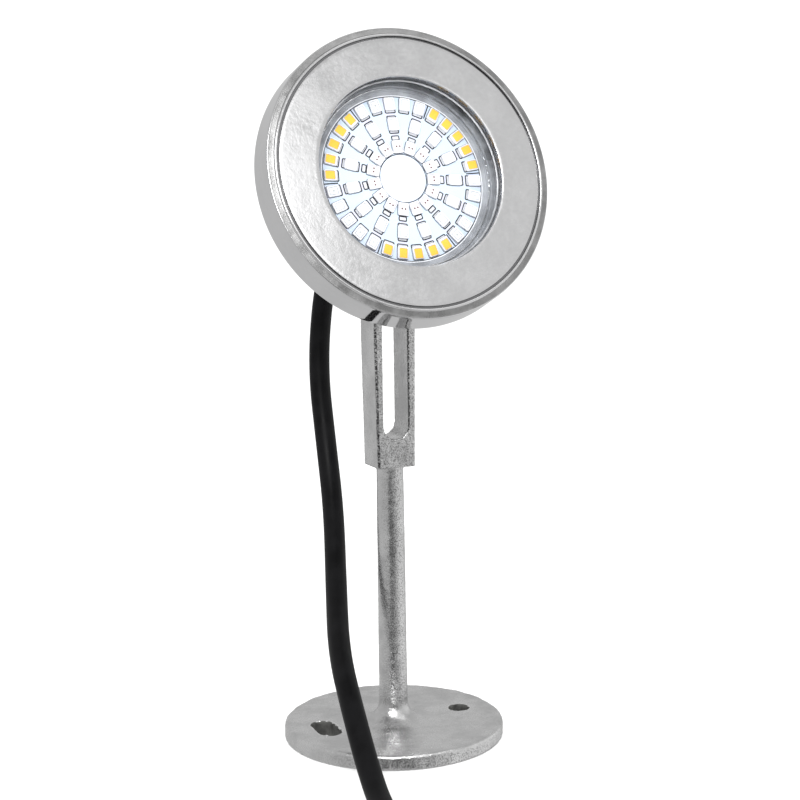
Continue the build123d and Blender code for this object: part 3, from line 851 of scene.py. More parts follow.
@dataclass
class LampHead:
    """The turned head: its bezel, lens, lamp board, rear housing and cord entry."""

    tilt: float = math.radians(18.05)
    glass_at: float = 2.4 * MM
    glass_thick: float = 3.0 * MM
    board_at: float = 6.64 * MM
    board_thick: float = 1.2 * MM
    opening: float = 25.52 * MM
    front: float = 39.15 * MM
    back: float = 39.63 * MM
    depth: float = 9.84 * MM
    bead: float = 37.2 * MM
    bead_rise: float = 0.15 * MM
    groove: float = 36.3 * MM
    groove_half: float = 0.30 * MM
    groove_depth: float = 0.5 * MM
    rim_drop: float = 0.55 * MM
    recess: float = 35.6 * MM
    glass_bore: float = 29.1 * MM
    lip: float = 2.0 * MM
    glass_radius: float = 29.0 * MM
    surround_bore: float = 22.8 * MM
    surround_step: float = 0.45 * MM
    wire_radius: float = 24.3 * MM
    wire_half: float = 0.13 * MM
    dent: float = 0.018 * MM
    place: Matrix = field(init=False)

    def __post_init__(self) -> None:
        """Finds the head's frame from its packed lens: X along the pivot, Y up the face, Z out of it."""
        low, high = (Vector(corner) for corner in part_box("lens_glass"))
        up = Vector((0, math.sin(self.tilt), math.cos(self.tilt)))
        out = Vector((0, -math.cos(self.tilt), math.sin(self.tilt)))
        centre = (low + high) / 2 + out * (self.glass_at + self.glass_thick / 2)
        turn = Matrix((Vector((1, 0, 0)), up, out)).transposed()
        self.place = Matrix.Translation(centre) @ turn.to_4x4()

    @property
    def centre(self) -> Vector:
        """The middle of the bezel's front face."""
        return self.place.translation

    @property
    def turn(self) -> Matrix:
        """The head's rotation."""
        return self.place.to_3x3()

    def build(self) -> list[bpy.types.Object]:
        """Builds the head's own pieces, each riding on the head.

        Returns:
            The pieces.
        """
        pieces = [self.bezel(), self.lens(), self.ring_behind_lens(), self.sealant(), self.retainer()]
        for piece in pieces:
            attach(piece, Body.HEAD.value)
        return pieces

    def bezel(self) -> bpy.types.Object:
        """The turned front ring, with its bead, groove and worn sloping rim.

        Returns:
            The bezel.
        """
        edge, half = 0.12 * MM, self.groove_half
        corners = [
            (self.bead, self.bead_rise, 0.30 * MM), (self.groove + half, self.bead_rise, 0.25 * MM),
            (self.groove + half, -self.groove_depth, 0.05 * MM),
            (self.groove - half, -self.groove_depth, 0.05 * MM), (self.groove - half, 0.0, edge),
            (self.opening, 0.0, 0.22 * MM), (self.opening, -self.lip, edge),
            (self.glass_bore, -self.lip, 0.0), (self.glass_bore, -self.board_at - self.board_thick, 0.0),
            (self.recess, -self.board_at - self.board_thick, 0.0), (self.recess, -self.depth, edge),
            (self.back, -self.depth, 0.2 * MM), (self.front + 0.01 * MM, -self.rim_drop, 0.35 * MM),
            (self.front - 0.5 * MM, -self.rim_drop, 0.2 * MM),
            (self.bead + 0.25 * MM, -0.32 * MM, 0.1 * MM),
        ]
        outline = self._divided(rounded(corners, 5), 0.9 * MM)
        bezel = lathe("bezel", outline, self.place, BEZEL_SEGMENTS)
        self._roughen_rim(bezel)
        steel = TurnedSteel("turned_steel", self.centre, self.turn).make()
        rim = CastSteel(
            "rough_rim", colour=(0.27, 0.27, 0.27), bright=(0.40, 0.40, 0.40), grain=2600.0, depth=0.03 * MM,
            smooth=0.26, rough=0.40,
        ).make()
        # painted shade: the turned steel made dark for the bore and the groove
        shade = TurnedSteel(
            "bore_painted_shade", self.centre, self.turn, (0.20, 0.20, 0.205), smooth=0.2, rough=0.4
        ).make()
        wall = TurnedSteel(
            "polished_wall", self.centre, self.turn, (0.72, 0.72, 0.725), depth=0.0002 * MM, smooth=0.03,
            rough=0.07, smear=0.01 * MM, ripple=0.0006 * MM,
        ).make()
        dressed(bezel, steel)
        for finish in (rim, shade, wall):
            bezel.data.materials.append(finish)
        inverse = self.place.inverted()
        for face in bezel.data.polygons:
            face.material_index = self._zone(inverse @ face.center).value
        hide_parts("bezel_ring")
        return bezel

    def _zone(self, spot: Vector) -> BezelZone:
        """Which finish a spot of the bezel has: the groove and the bore get the dark steel that paints their
        shade.

        Args:
            spot: the spot, in the head's frame.

        Returns:
            Its zone.
        """
        radius = math.hypot(spot.x, spot.y)
        if abs(radius - self.groove) < self.groove_half + 0.02 * MM and spot.z < -0.1 * MM:
            return BezelZone.PAINTED_SHADE
        if radius > self.front - 0.1 * MM and spot.z < -self.rim_drop - 0.3 * MM:
            return BezelZone.WALL
        if radius < self.glass_bore and spot.z < -0.3 * MM:
            return BezelZone.PAINTED_SHADE
        if self.bead + 0.2 * MM < radius < self.front - 0.25 * MM and spot.z > -1.0 * MM:
            return BezelZone.RIM
        return BezelZone.FACE

    @staticmethod
    def _divided(outline: Outline, longest: float) -> Outline:
        """An outline whose long runs are divided, so that shading and wear have points to act on.

        Args:
            outline: the outline.
            longest: the longest piece that may stay.

        Returns:
            The divided outline.
        """
        points: Outline = []
        for i, (r, z) in enumerate(outline):
            nr, nz = outline[(i + 1) % len(outline)]
            steps = max(1, math.ceil(math.hypot(nr - r, nz - z) / longest))
            points += [(r + (nr - r) * k / steps, z + (nz - z) * k / steps) for k in range(steps)]
        return points

    def _roughen_rim(self, bezel: bpy.types.Object) -> None:
        """Wears the sloping rim with small dents, and leaves the turned faces alone.

        Args:
            bezel: the bezel, whose points are moved.
        """
        inverse = self.place.inverted()
        out = self.turn.col[2]
        for vertex in bezel.data.vertices:
            local = inverse @ vertex.co
            radius = math.hypot(local.x, local.y)
            if self.bead < radius < self.front - 0.02 * MM and local.z > -0.8 * MM:
                inner, outer = radius - self.bead, self.front - radius
                share = min(1.0, inner / (0.4 * MM), outer / (0.2 * MM))
                dent = noise.noise(vertex.co * 900) + 0.5 * noise.noise(vertex.co * 2300)
                vertex.co += out * dent * self.dent * share

    def lens(self) -> bpy.types.Object:
        """The clear glass, chamfered on both rims.

        Returns:
            The lens.
        """
        radius, edge = self.glass_radius, 0.25 * MM
        back, front = -self.glass_at - self.glass_thick, -self.glass_at
        outline = [
            (0.0, front), (radius - edge, front), (radius, front - edge), (radius, back + edge),
            (radius - edge, back), (0.0, back),
        ]
        lens = lathe("lens", outline, self.place, LENS_SEGMENTS)
        dressed(lens, LampGlass("lamp_glass").make())
        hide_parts("lens_glass")
        return lens

    def ring_behind_lens(self) -> bpy.types.Object:
        """The stepped grey ring between the lens and the lamp board.

        Returns:
            The ring.
        """
        back, front = -self.board_at, -self.glass_at - self.glass_thick
        step, bore, outer, soft = self.surround_step, self.surround_bore, self.glass_radius, 0.1 * MM
        corners = [
            (bore, back, 0.0), (bore, front - 2 * step, soft),
            (23.7 * MM, front - 2 * step + 0.05 * MM, soft), (23.8 * MM, front - step, soft),
            (24.7 * MM, front - step, soft), (24.9 * MM, front, soft), (outer, front, 0.0),
            (outer, back, 0.0),
        ]
        ring = lathe("board_surround", rounded(corners, 3), self.place, RING_SEGMENTS)
        grey = Moulded("ring_grey", (0.30, 0.31, 0.33), rough=0.34, coat=0.3, vary=0.25)
        dressed(ring, grey.make())
        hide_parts("board_ring")
        return ring

    def sealant(self) -> bpy.types.Object:
        """The bead of clear sealant where the lens meets the lip, uneven as it is laid by hand.

        Returns:
            The bead.
        """
        middle = Vector((self.opening - 0.25 * MM, -self.glass_at + 0.12 * MM))
        bead = lathe("sealant_bead", oval(middle, 0.26 * MM, 0.20 * MM), self.place, BEAD_SEGMENTS)
        inverse = self.place.inverted()
        for vertex in bead.data.vertices:
            local = inverse @ vertex.co
            swell = noise.noise(Vector((math.atan2(local.y, local.x) * 28, 0.0, 3.0)))
            toward = Vector((local.x, local.y, 0)).normalized()
            local -= toward * max(0.0, swell) * 0.22 * MM
            vertex.co = self.place @ local
        gel = Moulded("clear_sealant", (0.42, 0.43, 0.45), rough=0.16, coat=0.6, vary=0.3)
        return dressed(bead, gel.make())

    def retainer(self) -> bpy.types.Object:
        """The thin spring wire that holds the ring behind the lens, hammered flat here and there.

        Returns:
            The wire.
        """
        middle = Vector((self.wire_radius, -self.glass_at - self.glass_thick - 0.15 * MM))
        wire = lathe("retainer_wire", oval(middle, self.wire_half, self.wire_half), self.place, BEAD_SEGMENTS)
        out = self.turn.col[2]
        for vertex in wire.data.vertices:
            vertex.co += out * noise.noise(vertex.co * 900) * 0.05 * MM
        steel = Moulded("wire_steel", (0.80, 0.80, 0.80), 0.12, metal=1.0, grain=900.0, depth=0.08 * MM)
        return dressed(wire, steel.make())


@dataclass
class LampBoard:
    """The round board with its printed lines, dark lines that paint shadow round the LEDs and the centre
    disc, pads and three rings of LEDs.
    """

    head: LampHead
    spokes: int = 15
    spoke_angle: float = math.radians(21)
    inner: float = 8.55 * MM
    middle: float = 14.75 * MM
    outer: float = 20.35 * MM
    outer_count: int = 30
    outer_angle: float = math.radians(9)
    groups: int = 6
    body: tuple[float, float, float] = (3.4 * MM, 2.8 * MM, 0.75 * MM)
    # width of the dark outline round each LED, which paints the package's shadow
    line: float = 0.12 * MM
    pad_line: float = 0.30 * MM
    print_thick: float = 0.05 * MM
    disc: float = 6.45 * MM
    disc_line: float = 6.68 * MM
    rim_dark: float = 22.28 * MM
    rim_white: float = 22.50 * MM
    rim_edge: float = 22.80 * MM
    group_line: tuple[float, float, float] = (20.45 * MM, 4.1 * MM, 0.3 * MM)

    def __post_init__(self) -> None:
        """Prepares the rings' tree and the places that the print is drawn from."""
        self.pattern = RingPattern(self.head.place)
        self.top = -self.head.board_at
        self.step = 2 * math.pi / self.outer_count
        self.group = self.outer_count // self.groups
        # the ink serves both the real print and the dark lines that paint shadow
        self.ink = Moulded("print_ink", (0.008, 0.008, 0.012), rough=0.5, gloss=0.1, vary=0.3).make()
        self.edge = Moulded("cup_edge", (0.42, 0.43, 0.47), rough=0.4, vary=0.2).make()
        self.solder = Moulded("solder", (0.66, 0.67, 0.70), rough=0.35, vary=0.10).make()
        self.package = Moulded("led_package", (0.92, 0.91, 0.93), rough=0.4, coat=0.2, vary=0.05).make()

    def build(self) -> list[bpy.types.Object]:
        """Builds the board and everything on it, each piece riding on the head.

        Returns:
            The pieces.
        """
        pieces = [self.mask(), self.centre_disc(), self.rim_lines(), self.group_lines()]
        pieces += self.pads()
        pieces += self.inner_leds() + self.middle_leds() + self.outer_leds()
        for piece in pieces:
            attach(piece, Body.HEAD.value)
        return pieces

    def _even(self, radius: float, height: float, seed: int = 7) -> Ring:
        """A ring of copies on the spokes."""
        return Ring(self.spokes, radius, self.spoke_angle, 2 * math.pi / self.spokes, height, seed=seed)

    def _grouped(self, radius: float, height: float, warm: bool, seed: int = 7) -> Ring:
        """The warm or the clear groups of the outer ring.

        Args:
            radius: of the copies' middles.
            height: where they stand.
            warm: whether these are the groups with phosphor.
            seed: for their shades.

        Returns:
            The ring.
        """
        first = self.outer_angle + (0 if warm else self.group * self.step)
        count = self.outer_count // 2
        gap = 2 * self.group * self.step
        return Ring(count, radius, first, self.step, height, self.group, gap, seed)

    def mask(self) -> bpy.types.Object:
        """The board itself.

        Returns:
            The board.
        """
        back = self.top - self.head.board_thick
        radius = self.head.glass_radius
        outline = [(0.0, self.top), (radius, self.top), (radius, back), (0.0, back)]
        board = lathe("lamp_board", outline, self.head.place, BOARD_SEGMENTS)
        paint = BoardMask("board_mask", self.head.centre, self.head.turn, self.spokes, self.spoke_angle)
        dressed(board, paint.make())
        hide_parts("led_board")
        return board

    def _flat_ring(self, name: str, inner: float, outer: float, rise: float) -> bpy.types.Object:
        """A flat ring of print on the board.

        Args:
            name: the ring's name.
            inner: its inner radius.
            outer: its outer radius.
            rise: how far it stands over the board.

        Returns:
            The ring.
        """
        top = self.top + rise
        outline = [(inner, self.top), (outer, self.top), (outer, top), (inner, top)]
        return lathe(name, outline, self.head.place, PRINT_SEGMENTS)

    def centre_disc(self) -> bpy.types.Object:
        """The plain disc in the middle of the board, with a dark outline that paints the shadow of the inner
        LEDs' edges.

        Returns:
            The disc with its painted shadow line.
        """
        rise, radius = self.print_thick, self.disc
        outline = [(0.0, self.top + rise), (radius, self.top + rise), (radius, self.top), (0.0, self.top)]
        disc = lathe("centre_disc", outline, self.head.place, DISC_SEGMENTS)
        dressed(disc, Moulded("centre_blue", (0.73, 0.80, 0.92), rough=0.45, vary=0.01).make())
        # painted shadow: a dark ring round the disc
        edge = dressed(self._flat_ring("centre_line", radius, self.disc_line, rise), self.ink)
        return joined("centre_disc_and_line", [disc, edge])

    def rim_lines(self) -> bpy.types.Object:
        """The white line and the dark line at the board's visible rim.

        Returns:
            Both lines.
        """
        white = Moulded("print_white", (0.86, 0.87, 0.9), rough=0.4, vary=0.05).make()
        dark = self._flat_ring("rim_dark", self.rim_dark, self.rim_white, self.print_thick)
        inner = dressed(dark, self.ink)
        pale = self._flat_ring("rim_white", self.rim_white, self.rim_edge, self.print_thick * 2)
        outer = dressed(pale, white)
        return joined("rim_print", [inner, outer])

    def group_lines(self) -> bpy.types.Object:
        """The dark lines that part the outer groups.

        Returns:
            The lines.
        """
        radius, long, wide = self.group_line
        strip = loft("group_lines", [slab(long, wide, 0.05 * MM, z) for z in (0.0, self.print_thick)])
        first = self.outer_angle - self.step / 2
        ring = Ring(self.groups, radius, first, 2 * math.pi / self.groups, self.top)
        return self.pattern.copies(strip, ring, self.ink)

    def _frame(
        self, name: str, long: float, wide: float, corner: float, line: float | None = None
    ) -> bpy.types.Object:
        """A thin closed line round a rounded rectangle, as wide as the painted shadow outline round an LED if
        not told.

        Args:
            name: the line's name.
            long: its outer length.
            wide: its outer width.
            corner: the outer corners' radius.
            line: how wide the line is.

        Returns:
            The line.
        """
        rise, line = self.print_thick, line or self.line
        inner = (long - 2 * line, wide - 2 * line, max(corner - line, 0.03 * MM))
        layers = [slab(long, wide, corner, z) for z in (0.0, rise)]
        layers += [slab(*inner, z) for z in (rise, 0.0)]
        return loft(name, layers, closed=True)

    def _pad(self, name: str, long: float, wide: float) -> bpy.types.Object:
        """A low pillow of solder.

        Args:
            name: the pad's name.
            long: its length.
            wide: its width.

        Returns:
            The pad.
        """
        corner, rise = 0.18 * MM, 0.10 * MM
        layers = [
            slab(long, wide, corner, 0.0), slab(long, wide, corner, rise * 0.6),
            slab(long - 0.25 * MM, wide - 0.25 * MM, corner, rise),
        ]
        return loft(name, layers)

    def pads(self) -> list[bpy.types.Object]:
        """The outlined pads beside the LEDs.

        Returns:
            The outlines and the pads.
        """
        rows = {
            "inner_pads": (1.45 * MM, 2.35 * MM, self._even(11.05 * MM, self.top)),
            "middle_pads_in": (1.10 * MM, 2.9 * MM, self._even(12.80 * MM, self.top)),
            "middle_pads_out": (1.10 * MM, 2.8 * MM, self._even(16.70 * MM, self.top)),
            "warm_pads": (1.10 * MM, 3.1 * MM, self._grouped(18.40 * MM, self.top, True)),
            "clear_pads": (1.10 * MM, 3.1 * MM, self._grouped(18.40 * MM, self.top, False)),
        }
        made = []
        for name, (long, wide, ring) in rows.items():
            frame = self._frame(f"{name}_line", long, wide, 0.36 * MM, self.pad_line)
            made.append(self.pattern.copies(frame, ring, self.ink))
            inset = 2 * self.pad_line
            pad = self._pad(name, long - inset, wide - inset)
            made.append(self.pattern.copies(pad, ring, self.solder))
        return made

    def _cup(self, name: str, window: tuple[float, float], offset: float) -> bpy.types.Object:
        """An LED's white package, with a sloping cup that its filling lies in.

        Args:
            name: the package's name.
            window: the cup's length and width.
            offset: how far out the cup lies from the package's middle.

        Returns:
            The package.
        """
        long, wide, tall = self.body
        corner, shift = 0.25 * MM, Vector((offset, 0, 0))
        layers = [
            slab(long - 0.1 * MM, wide - 0.1 * MM, corner, 0.0), slab(long, wide, corner, 0.15 * MM),
            slab(long, wide, corner, tall - 0.08 * MM),
            slab(long - 0.14 * MM, wide - 0.14 * MM, corner, tall),
            moved(slab(window[0], window[1], 0.3 * MM, tall), shift),
            moved(slab(window[0] - 0.35 * MM, window[1] - 0.35 * MM, 0.2 * MM, tall - 0.25 * MM), shift),
        ]
        return loft(name, layers)

    def _fill(self, name: str, window: tuple[float, float], offset: float, crown: float) -> bpy.types.Object:
        """What fills a cup, crowned or dished by a little.

        Args:
            name: the filling's name.
            window: the cup's length and width.
            offset: how far out the cup lies from the package's middle.
            crown: how far it rises over the package, in millimetres.

        Returns:
            The filling.
        """
        tall, shift = self.body[2], Vector((offset, 0, 0))
        sizes = [(0.12, -0.2, 0.2), (0.06, -0.04, 0.26), (0.5, crown * 0.7, 0.2), (1.1, crown, 0.1)]
        layers = [
            moved(slab(window[0] - cut * MM, window[1] - cut * MM, corner * MM, tall + rise * MM), shift)
            for cut, rise, corner in sizes
        ]
        return loft(name, layers)

    def _led_ring(
        self, name: str, node: str, ring: Callable[[float, float], Ring],
        radius: float, window: tuple[float, float], offset: float, crown: float, fill: LedFill,
    ) -> list[bpy.types.Object]:
        """One ring of LEDs: dark outlines on the board that paint the packages' shadow, packages and
        fillings.

        Args:
            name: the ring's name.
            node: the CAD node that the packages replace.
            ring: makes the ring from a radius and a height.
            radius: of the LEDs' middles.
            window: the cup's length along the radius and its width.
            offset: how far out the cup lies from the package's middle.
            crown: how far the filling rises over the package, in millimetres.
            fill: the filling's finish.

        Returns:
            The pieces.
        """
        long, wide, _ = self.body
        # painted shadow: a dark ink outline round each package
        line = self._frame(f"{name}_lines", long + 0.20 * MM, wide + 0.34 * MM, 0.40 * MM)
        lines = self.pattern.copies(line, ring(radius, self.top), self.ink)
        cups = self.pattern.copies(
            self._cup(f"{name}_packages", window, offset), ring(radius, self.top), self.package
        )
        fills = self.pattern.copies(
            self._fill(f"{name}_fills", window, offset, crown), ring(radius, self.top), fill.make()
        )
        rim = self._frame(f"{name}_edges", window[0] + 0.1 * MM, window[1] + 0.1 * MM, 0.35 * MM, 0.13 * MM)
        rim.data.transform(Matrix.Translation((offset, 0, 0)))
        rims = self.pattern.copies(rim, ring(radius, self.top + self.body[2]), self.edge)
        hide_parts(node)
        return [lines, cups, rims, fills]

    def _dies(self, name: str, across: float, tall: float, apart: float) -> bpy.types.Object:
        """One die in a cup, or two side by side.

        Args:
            name: the dies' name.
            across: a die's side.
            tall: where its top lies.
            apart: how far each of two dies lies from the middle, or 0 for one die.

        Returns:
            The dies.
        """
        spots = [Vector((0, 0, 0))] if apart == 0 else [Vector((0, -apart, 0)), Vector((0, apart, 0))]
        parts = []
        for i, spot in enumerate(spots):
            layers = [moved(slab(across, across, across / 5, z), spot) for z in (tall - 0.1 * MM, tall)]
            parts.append(loft(f"{name}_{i}", layers))
        return joined(name, parts)

    def inner_leds(self) -> list[bpy.types.Object]:
        """The inner ring: pinkish packages with two dark dies each.

        Returns:
            The pieces.
        """
        fill = LedFill("led_red_clear", (0.90, 0.80, 0.81), (0.92, 0.86, 0.86))
        made = self._led_ring(
            "inner_led", "leds_inner", lambda r, h: self._even(r, h, 3),
            self.inner, (2.7 * MM, 2.2 * MM), 0.0, -0.02, fill,
        )
        dies = self._dies("inner_dies", 0.42 * MM, self.body[2] + 0.03 * MM, 0.46 * MM)
        red = Moulded("red_die", (0.07, 0.012, 0.018), rough=0.4, gloss=0.2, vary=0.3).make()
        pairs = self.pattern.copies(dies, self._even(self.inner, self.top), red)
        made.append(pairs)
        return made

    def middle_leds(self) -> list[bpy.types.Object]:
        """The middle ring: clear resin with a faint green cast.

        Returns:
            The pieces.
        """
        fill = LedFill("led_green_clear", (0.78, 0.85, 0.81), (0.92, 0.92, 0.91))
        return self._led_ring(
            "middle_led", "leds_middle", lambda r, h: self._even(r, h, 5),
            self.middle, (2.5 * MM, 2.0 * MM), 0.0, -0.02, fill,
        )

    def outer_leds(self) -> list[bpy.types.Object]:
        """The outer ring: three groups with yellow phosphor and three with clear resin.

        Returns:
            The pieces.
        """
        warm = LedFill("led_phosphor", (0.98, 0.47, 0.02), (1.0, 0.60, 0.06), 0.5)
        clear = LedFill("led_blue_clear", (0.80, 0.84, 0.85), (0.92, 0.93, 0.94))
        made = self._led_ring(
            "warm_led", "leds_warm", lambda r, h: self._grouped(r, h, True, 11),
            self.outer, (2.75 * MM, 2.3 * MM), 0.18 * MM, 0.03, warm,
        )
        made += self._led_ring(
            "clear_led", "leds_clear", lambda r, h: self._grouped(r, h, False, 13),
            self.outer, (2.4 * MM, 2.0 * MM), 0.05 * MM, -0.02, clear,
        )
        dies = self._dies("clear_dies", 0.55 * MM, self.body[2] + 0.01 * MM, 0.0)
        grey = Moulded("clear_die", (0.62, 0.64, 0.64), rough=0.3, vary=0.2).make()
        single = self.pattern.copies(dies, self._grouped(self.outer, self.top, False), grey)
        made.append(single)
        return made


# ---------------------------------------------------------------- cast stand


@dataclass
class CastStand:
    """The foot with its stem, and the fork: two castings, rough where the mould left them so."""

    foot_voxel: float = 0.42 * MM
    fork_voxel: float = 0.30 * MM
    edge_wave: float = 0.12 * MM
    skin: float = 0.05 * MM
    ragged: float = 0.22 * MM
    hole_at: float = 20.26 * MM
    hole_reach: float = 3.2 * MM
    slot_reach: float = 6.7 * MM

    def build(self, nodes: dict[str, bpy.types.Object]) -> list[bpy.types.Object]:
        """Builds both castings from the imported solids.

        Args:
            nodes: the CAD nodes by name.

        Returns:
            The pieces.
        """
        steel = CastSteel("cast_steel").make()
        # painted shade: a dark finish for the inner walls of the foot's holes
        shade = Moulded(
            "hole_painted_shade", (0.10, 0.10, 0.095), rough=0.6, metal=0.5, depth=0.05 * MM, vary=0.6
        ).make()
        foot = self._casting("cast_foot", nodes["stand_base"], self.foot_voxel, 0.0, self._foot_skin)
        fork = self._casting("cast_fork", nodes["fork"], self.fork_voxel, 1.0, self._fork_skin)
        for piece, node in ((foot, "stand_base"), (fork, "fork")):
            dressed(piece, steel)
            piece.data.materials.append(shade)
            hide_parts(node)
            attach(piece, Body.STAND.value)
        # the inner walls of both holes get the painted shade
        for face in foot.data.polygons:
            if self._in_hole(face.center) and abs(face.normal.z) < 0.6:
                face.material_index = 1
        return [foot, fork]

    def _in_hole(self, at: Vector) -> bool:
        """Whether a point lies in one of the foot's two holes.

        Args:
            at: the point.

        Returns:
            Whether it does.
        """
        round_hole = math.hypot(at.x - self.hole_at, at.y) < self.hole_reach
        slot = abs(at.x + self.hole_at) < self.hole_reach + 0.2 * MM and abs(at.y) < self.slot_reach
        return round_hole or slot

    @staticmethod
    def _mark_wear_and_highlight(mesh: bpy.types.Mesh, angular: float) -> None:
        """Stores where upward convex edges are painted bright (partly wear, partly a painted highlight),
        where the skin is gritty and where scale lies in it.

        Args:
            mesh: the casting.
            angular: how much scale the casting keeps along its front left edges, from 0 to 1.
        """
        edges = np.array([edge.vertices[:] for edge in mesh.edges])
        places = np.array([vertex.co[:] for vertex in mesh.vertices])
        normals = np.array([vertex.normal[:] for vertex in mesh.vertices])
        a, b = edges[:, 0], edges[:, 1]
        apart, turned = places[b] - places[a], normals[b] - normals[a]
        bulge = np.einsum("ij,ij->i", apart, turned) / np.maximum(np.linalg.norm(apart, axis=1), 1e-9)
        wear_and_highlight = np.zeros(len(places))
        np.maximum.at(wear_and_highlight, a, bulge)
        np.maximum.at(wear_and_highlight, b, bulge)
        # the bright edges are kept on upward-facing skin only: partly wear, partly a painted highlight
        upward = normals[:, 2] > 0.2
        wear_and_highlight = np.where(upward, np.clip((wear_and_highlight - 0.28) / 0.35, 0, 1), 0)
        facing = np.clip(-normals[:, 1], 0, 1) * np.clip(1 - 2 * normals[:, 2], 0, 1)
        turned_away = np.maximum(-normals[:, 0], normals[:, 2])
        edge = np.clip(np.minimum(turned_away, -normals[:, 1]) / 0.30, 0, 1)
        marks = {"wear_and_highlight": wear_and_highlight, "grit": 0.75 * facing ** 2, "grime": edge * angular}
        for name, values in marks.items():
            layer = mesh.attributes.new(name, "FLOAT", "POINT")
            layer.data.foreach_set("value", values.astype(np.float32))

    def _casting(
        self, name: str, node: bpy.types.Object, voxel: float, angular: float,
        skin: Callable[[Vector, Vector], float],
    ) -> bpy.types.Object:
        """A solid as a casting: its edges softened and its skin uneven.

        Args:
            name: the new object's name.
            node: the CAD node to start from.
            voxel: the size of the new mesh's squares.
            angular: how much scale it keeps along its front left edges, from 0 to 1.
            skin: how far a point moves along its normal, from its place and normal.

        Returns:
            The casting.
        """
        mesh = node.data.copy()
        work = bmesh.new()
        work.from_mesh(mesh)
        bmesh.ops.remove_doubles(work, verts=work.verts, dist=SOLID_MERGE)
        work.to_mesh(mesh)
        work.free()
        thing = linked(name, mesh)
        remesh = thing.modifiers.new("voxels", "REMESH")
        remesh.mode, remesh.voxel_size = "VOXEL", voxel
        cast = evaluated_mesh(thing)
        thing.modifiers.clear()
        thing.data = cast
        self._mark_wear_and_highlight(cast, angular)
        normals = [vertex.normal.copy() for vertex in cast.vertices]
        for vertex, normal in zip(cast.vertices, normals):
            vertex.co += normal * skin(vertex.co, normal)
        cast.shade_smooth()
        return thing

    def _grain(self, at: Vector) -> float:
        """The unevenness of a cast skin, from about -1 to 1."""
        return noise.noise(at * 700) + 0.6 * noise.noise(at * 1700)

    def _foot_skin(self, at: Vector, normal: Vector) -> float:
        """The foot's skin: even on top, wavy at its rim and on the stem.

        Args:
            at: the point.
            normal: its normal.

        Returns:
            How far it moves along its normal.
        """
        radius = math.hypot(at.x, at.y)
        amount = self.skin * (1.0 if radius < 28 * MM else 1.8)
        if at.z < 0.3 * MM:
            return 0.0
        wave = noise.noise(Vector((at.x * 260, at.y * 260, at.z * 90)))
        near_hole = self._in_hole(at + normal * 0.6 * MM)
        edge = self.edge_wave * wave if radius > 27.5 * MM or near_hole else 0.4 * self.edge_wave * wave
        return amount * self._grain(at) + edge

    def _fork_skin(self, at: Vector, normal: Vector) -> float:
        """The fork's skin: rough on its front and back, smoother on its sides.

        Args:
            at: the point.
            normal: its normal.

        Returns:
            How far it moves along its normal.
        """
        facing = abs(normal.y)
        amount = self.skin * (0.5 + 1.4 * facing)
        ragged = 1.0 - abs(2 * facing - 1.0)
        return amount * self._grain(at) - self.ragged * ragged * max(0.0, noise.noise(at * 1500))


# ---------------------------------------------------------------- supply cord


CORD_BLACK: Colour = (0.004, 0.004, 0.0045)


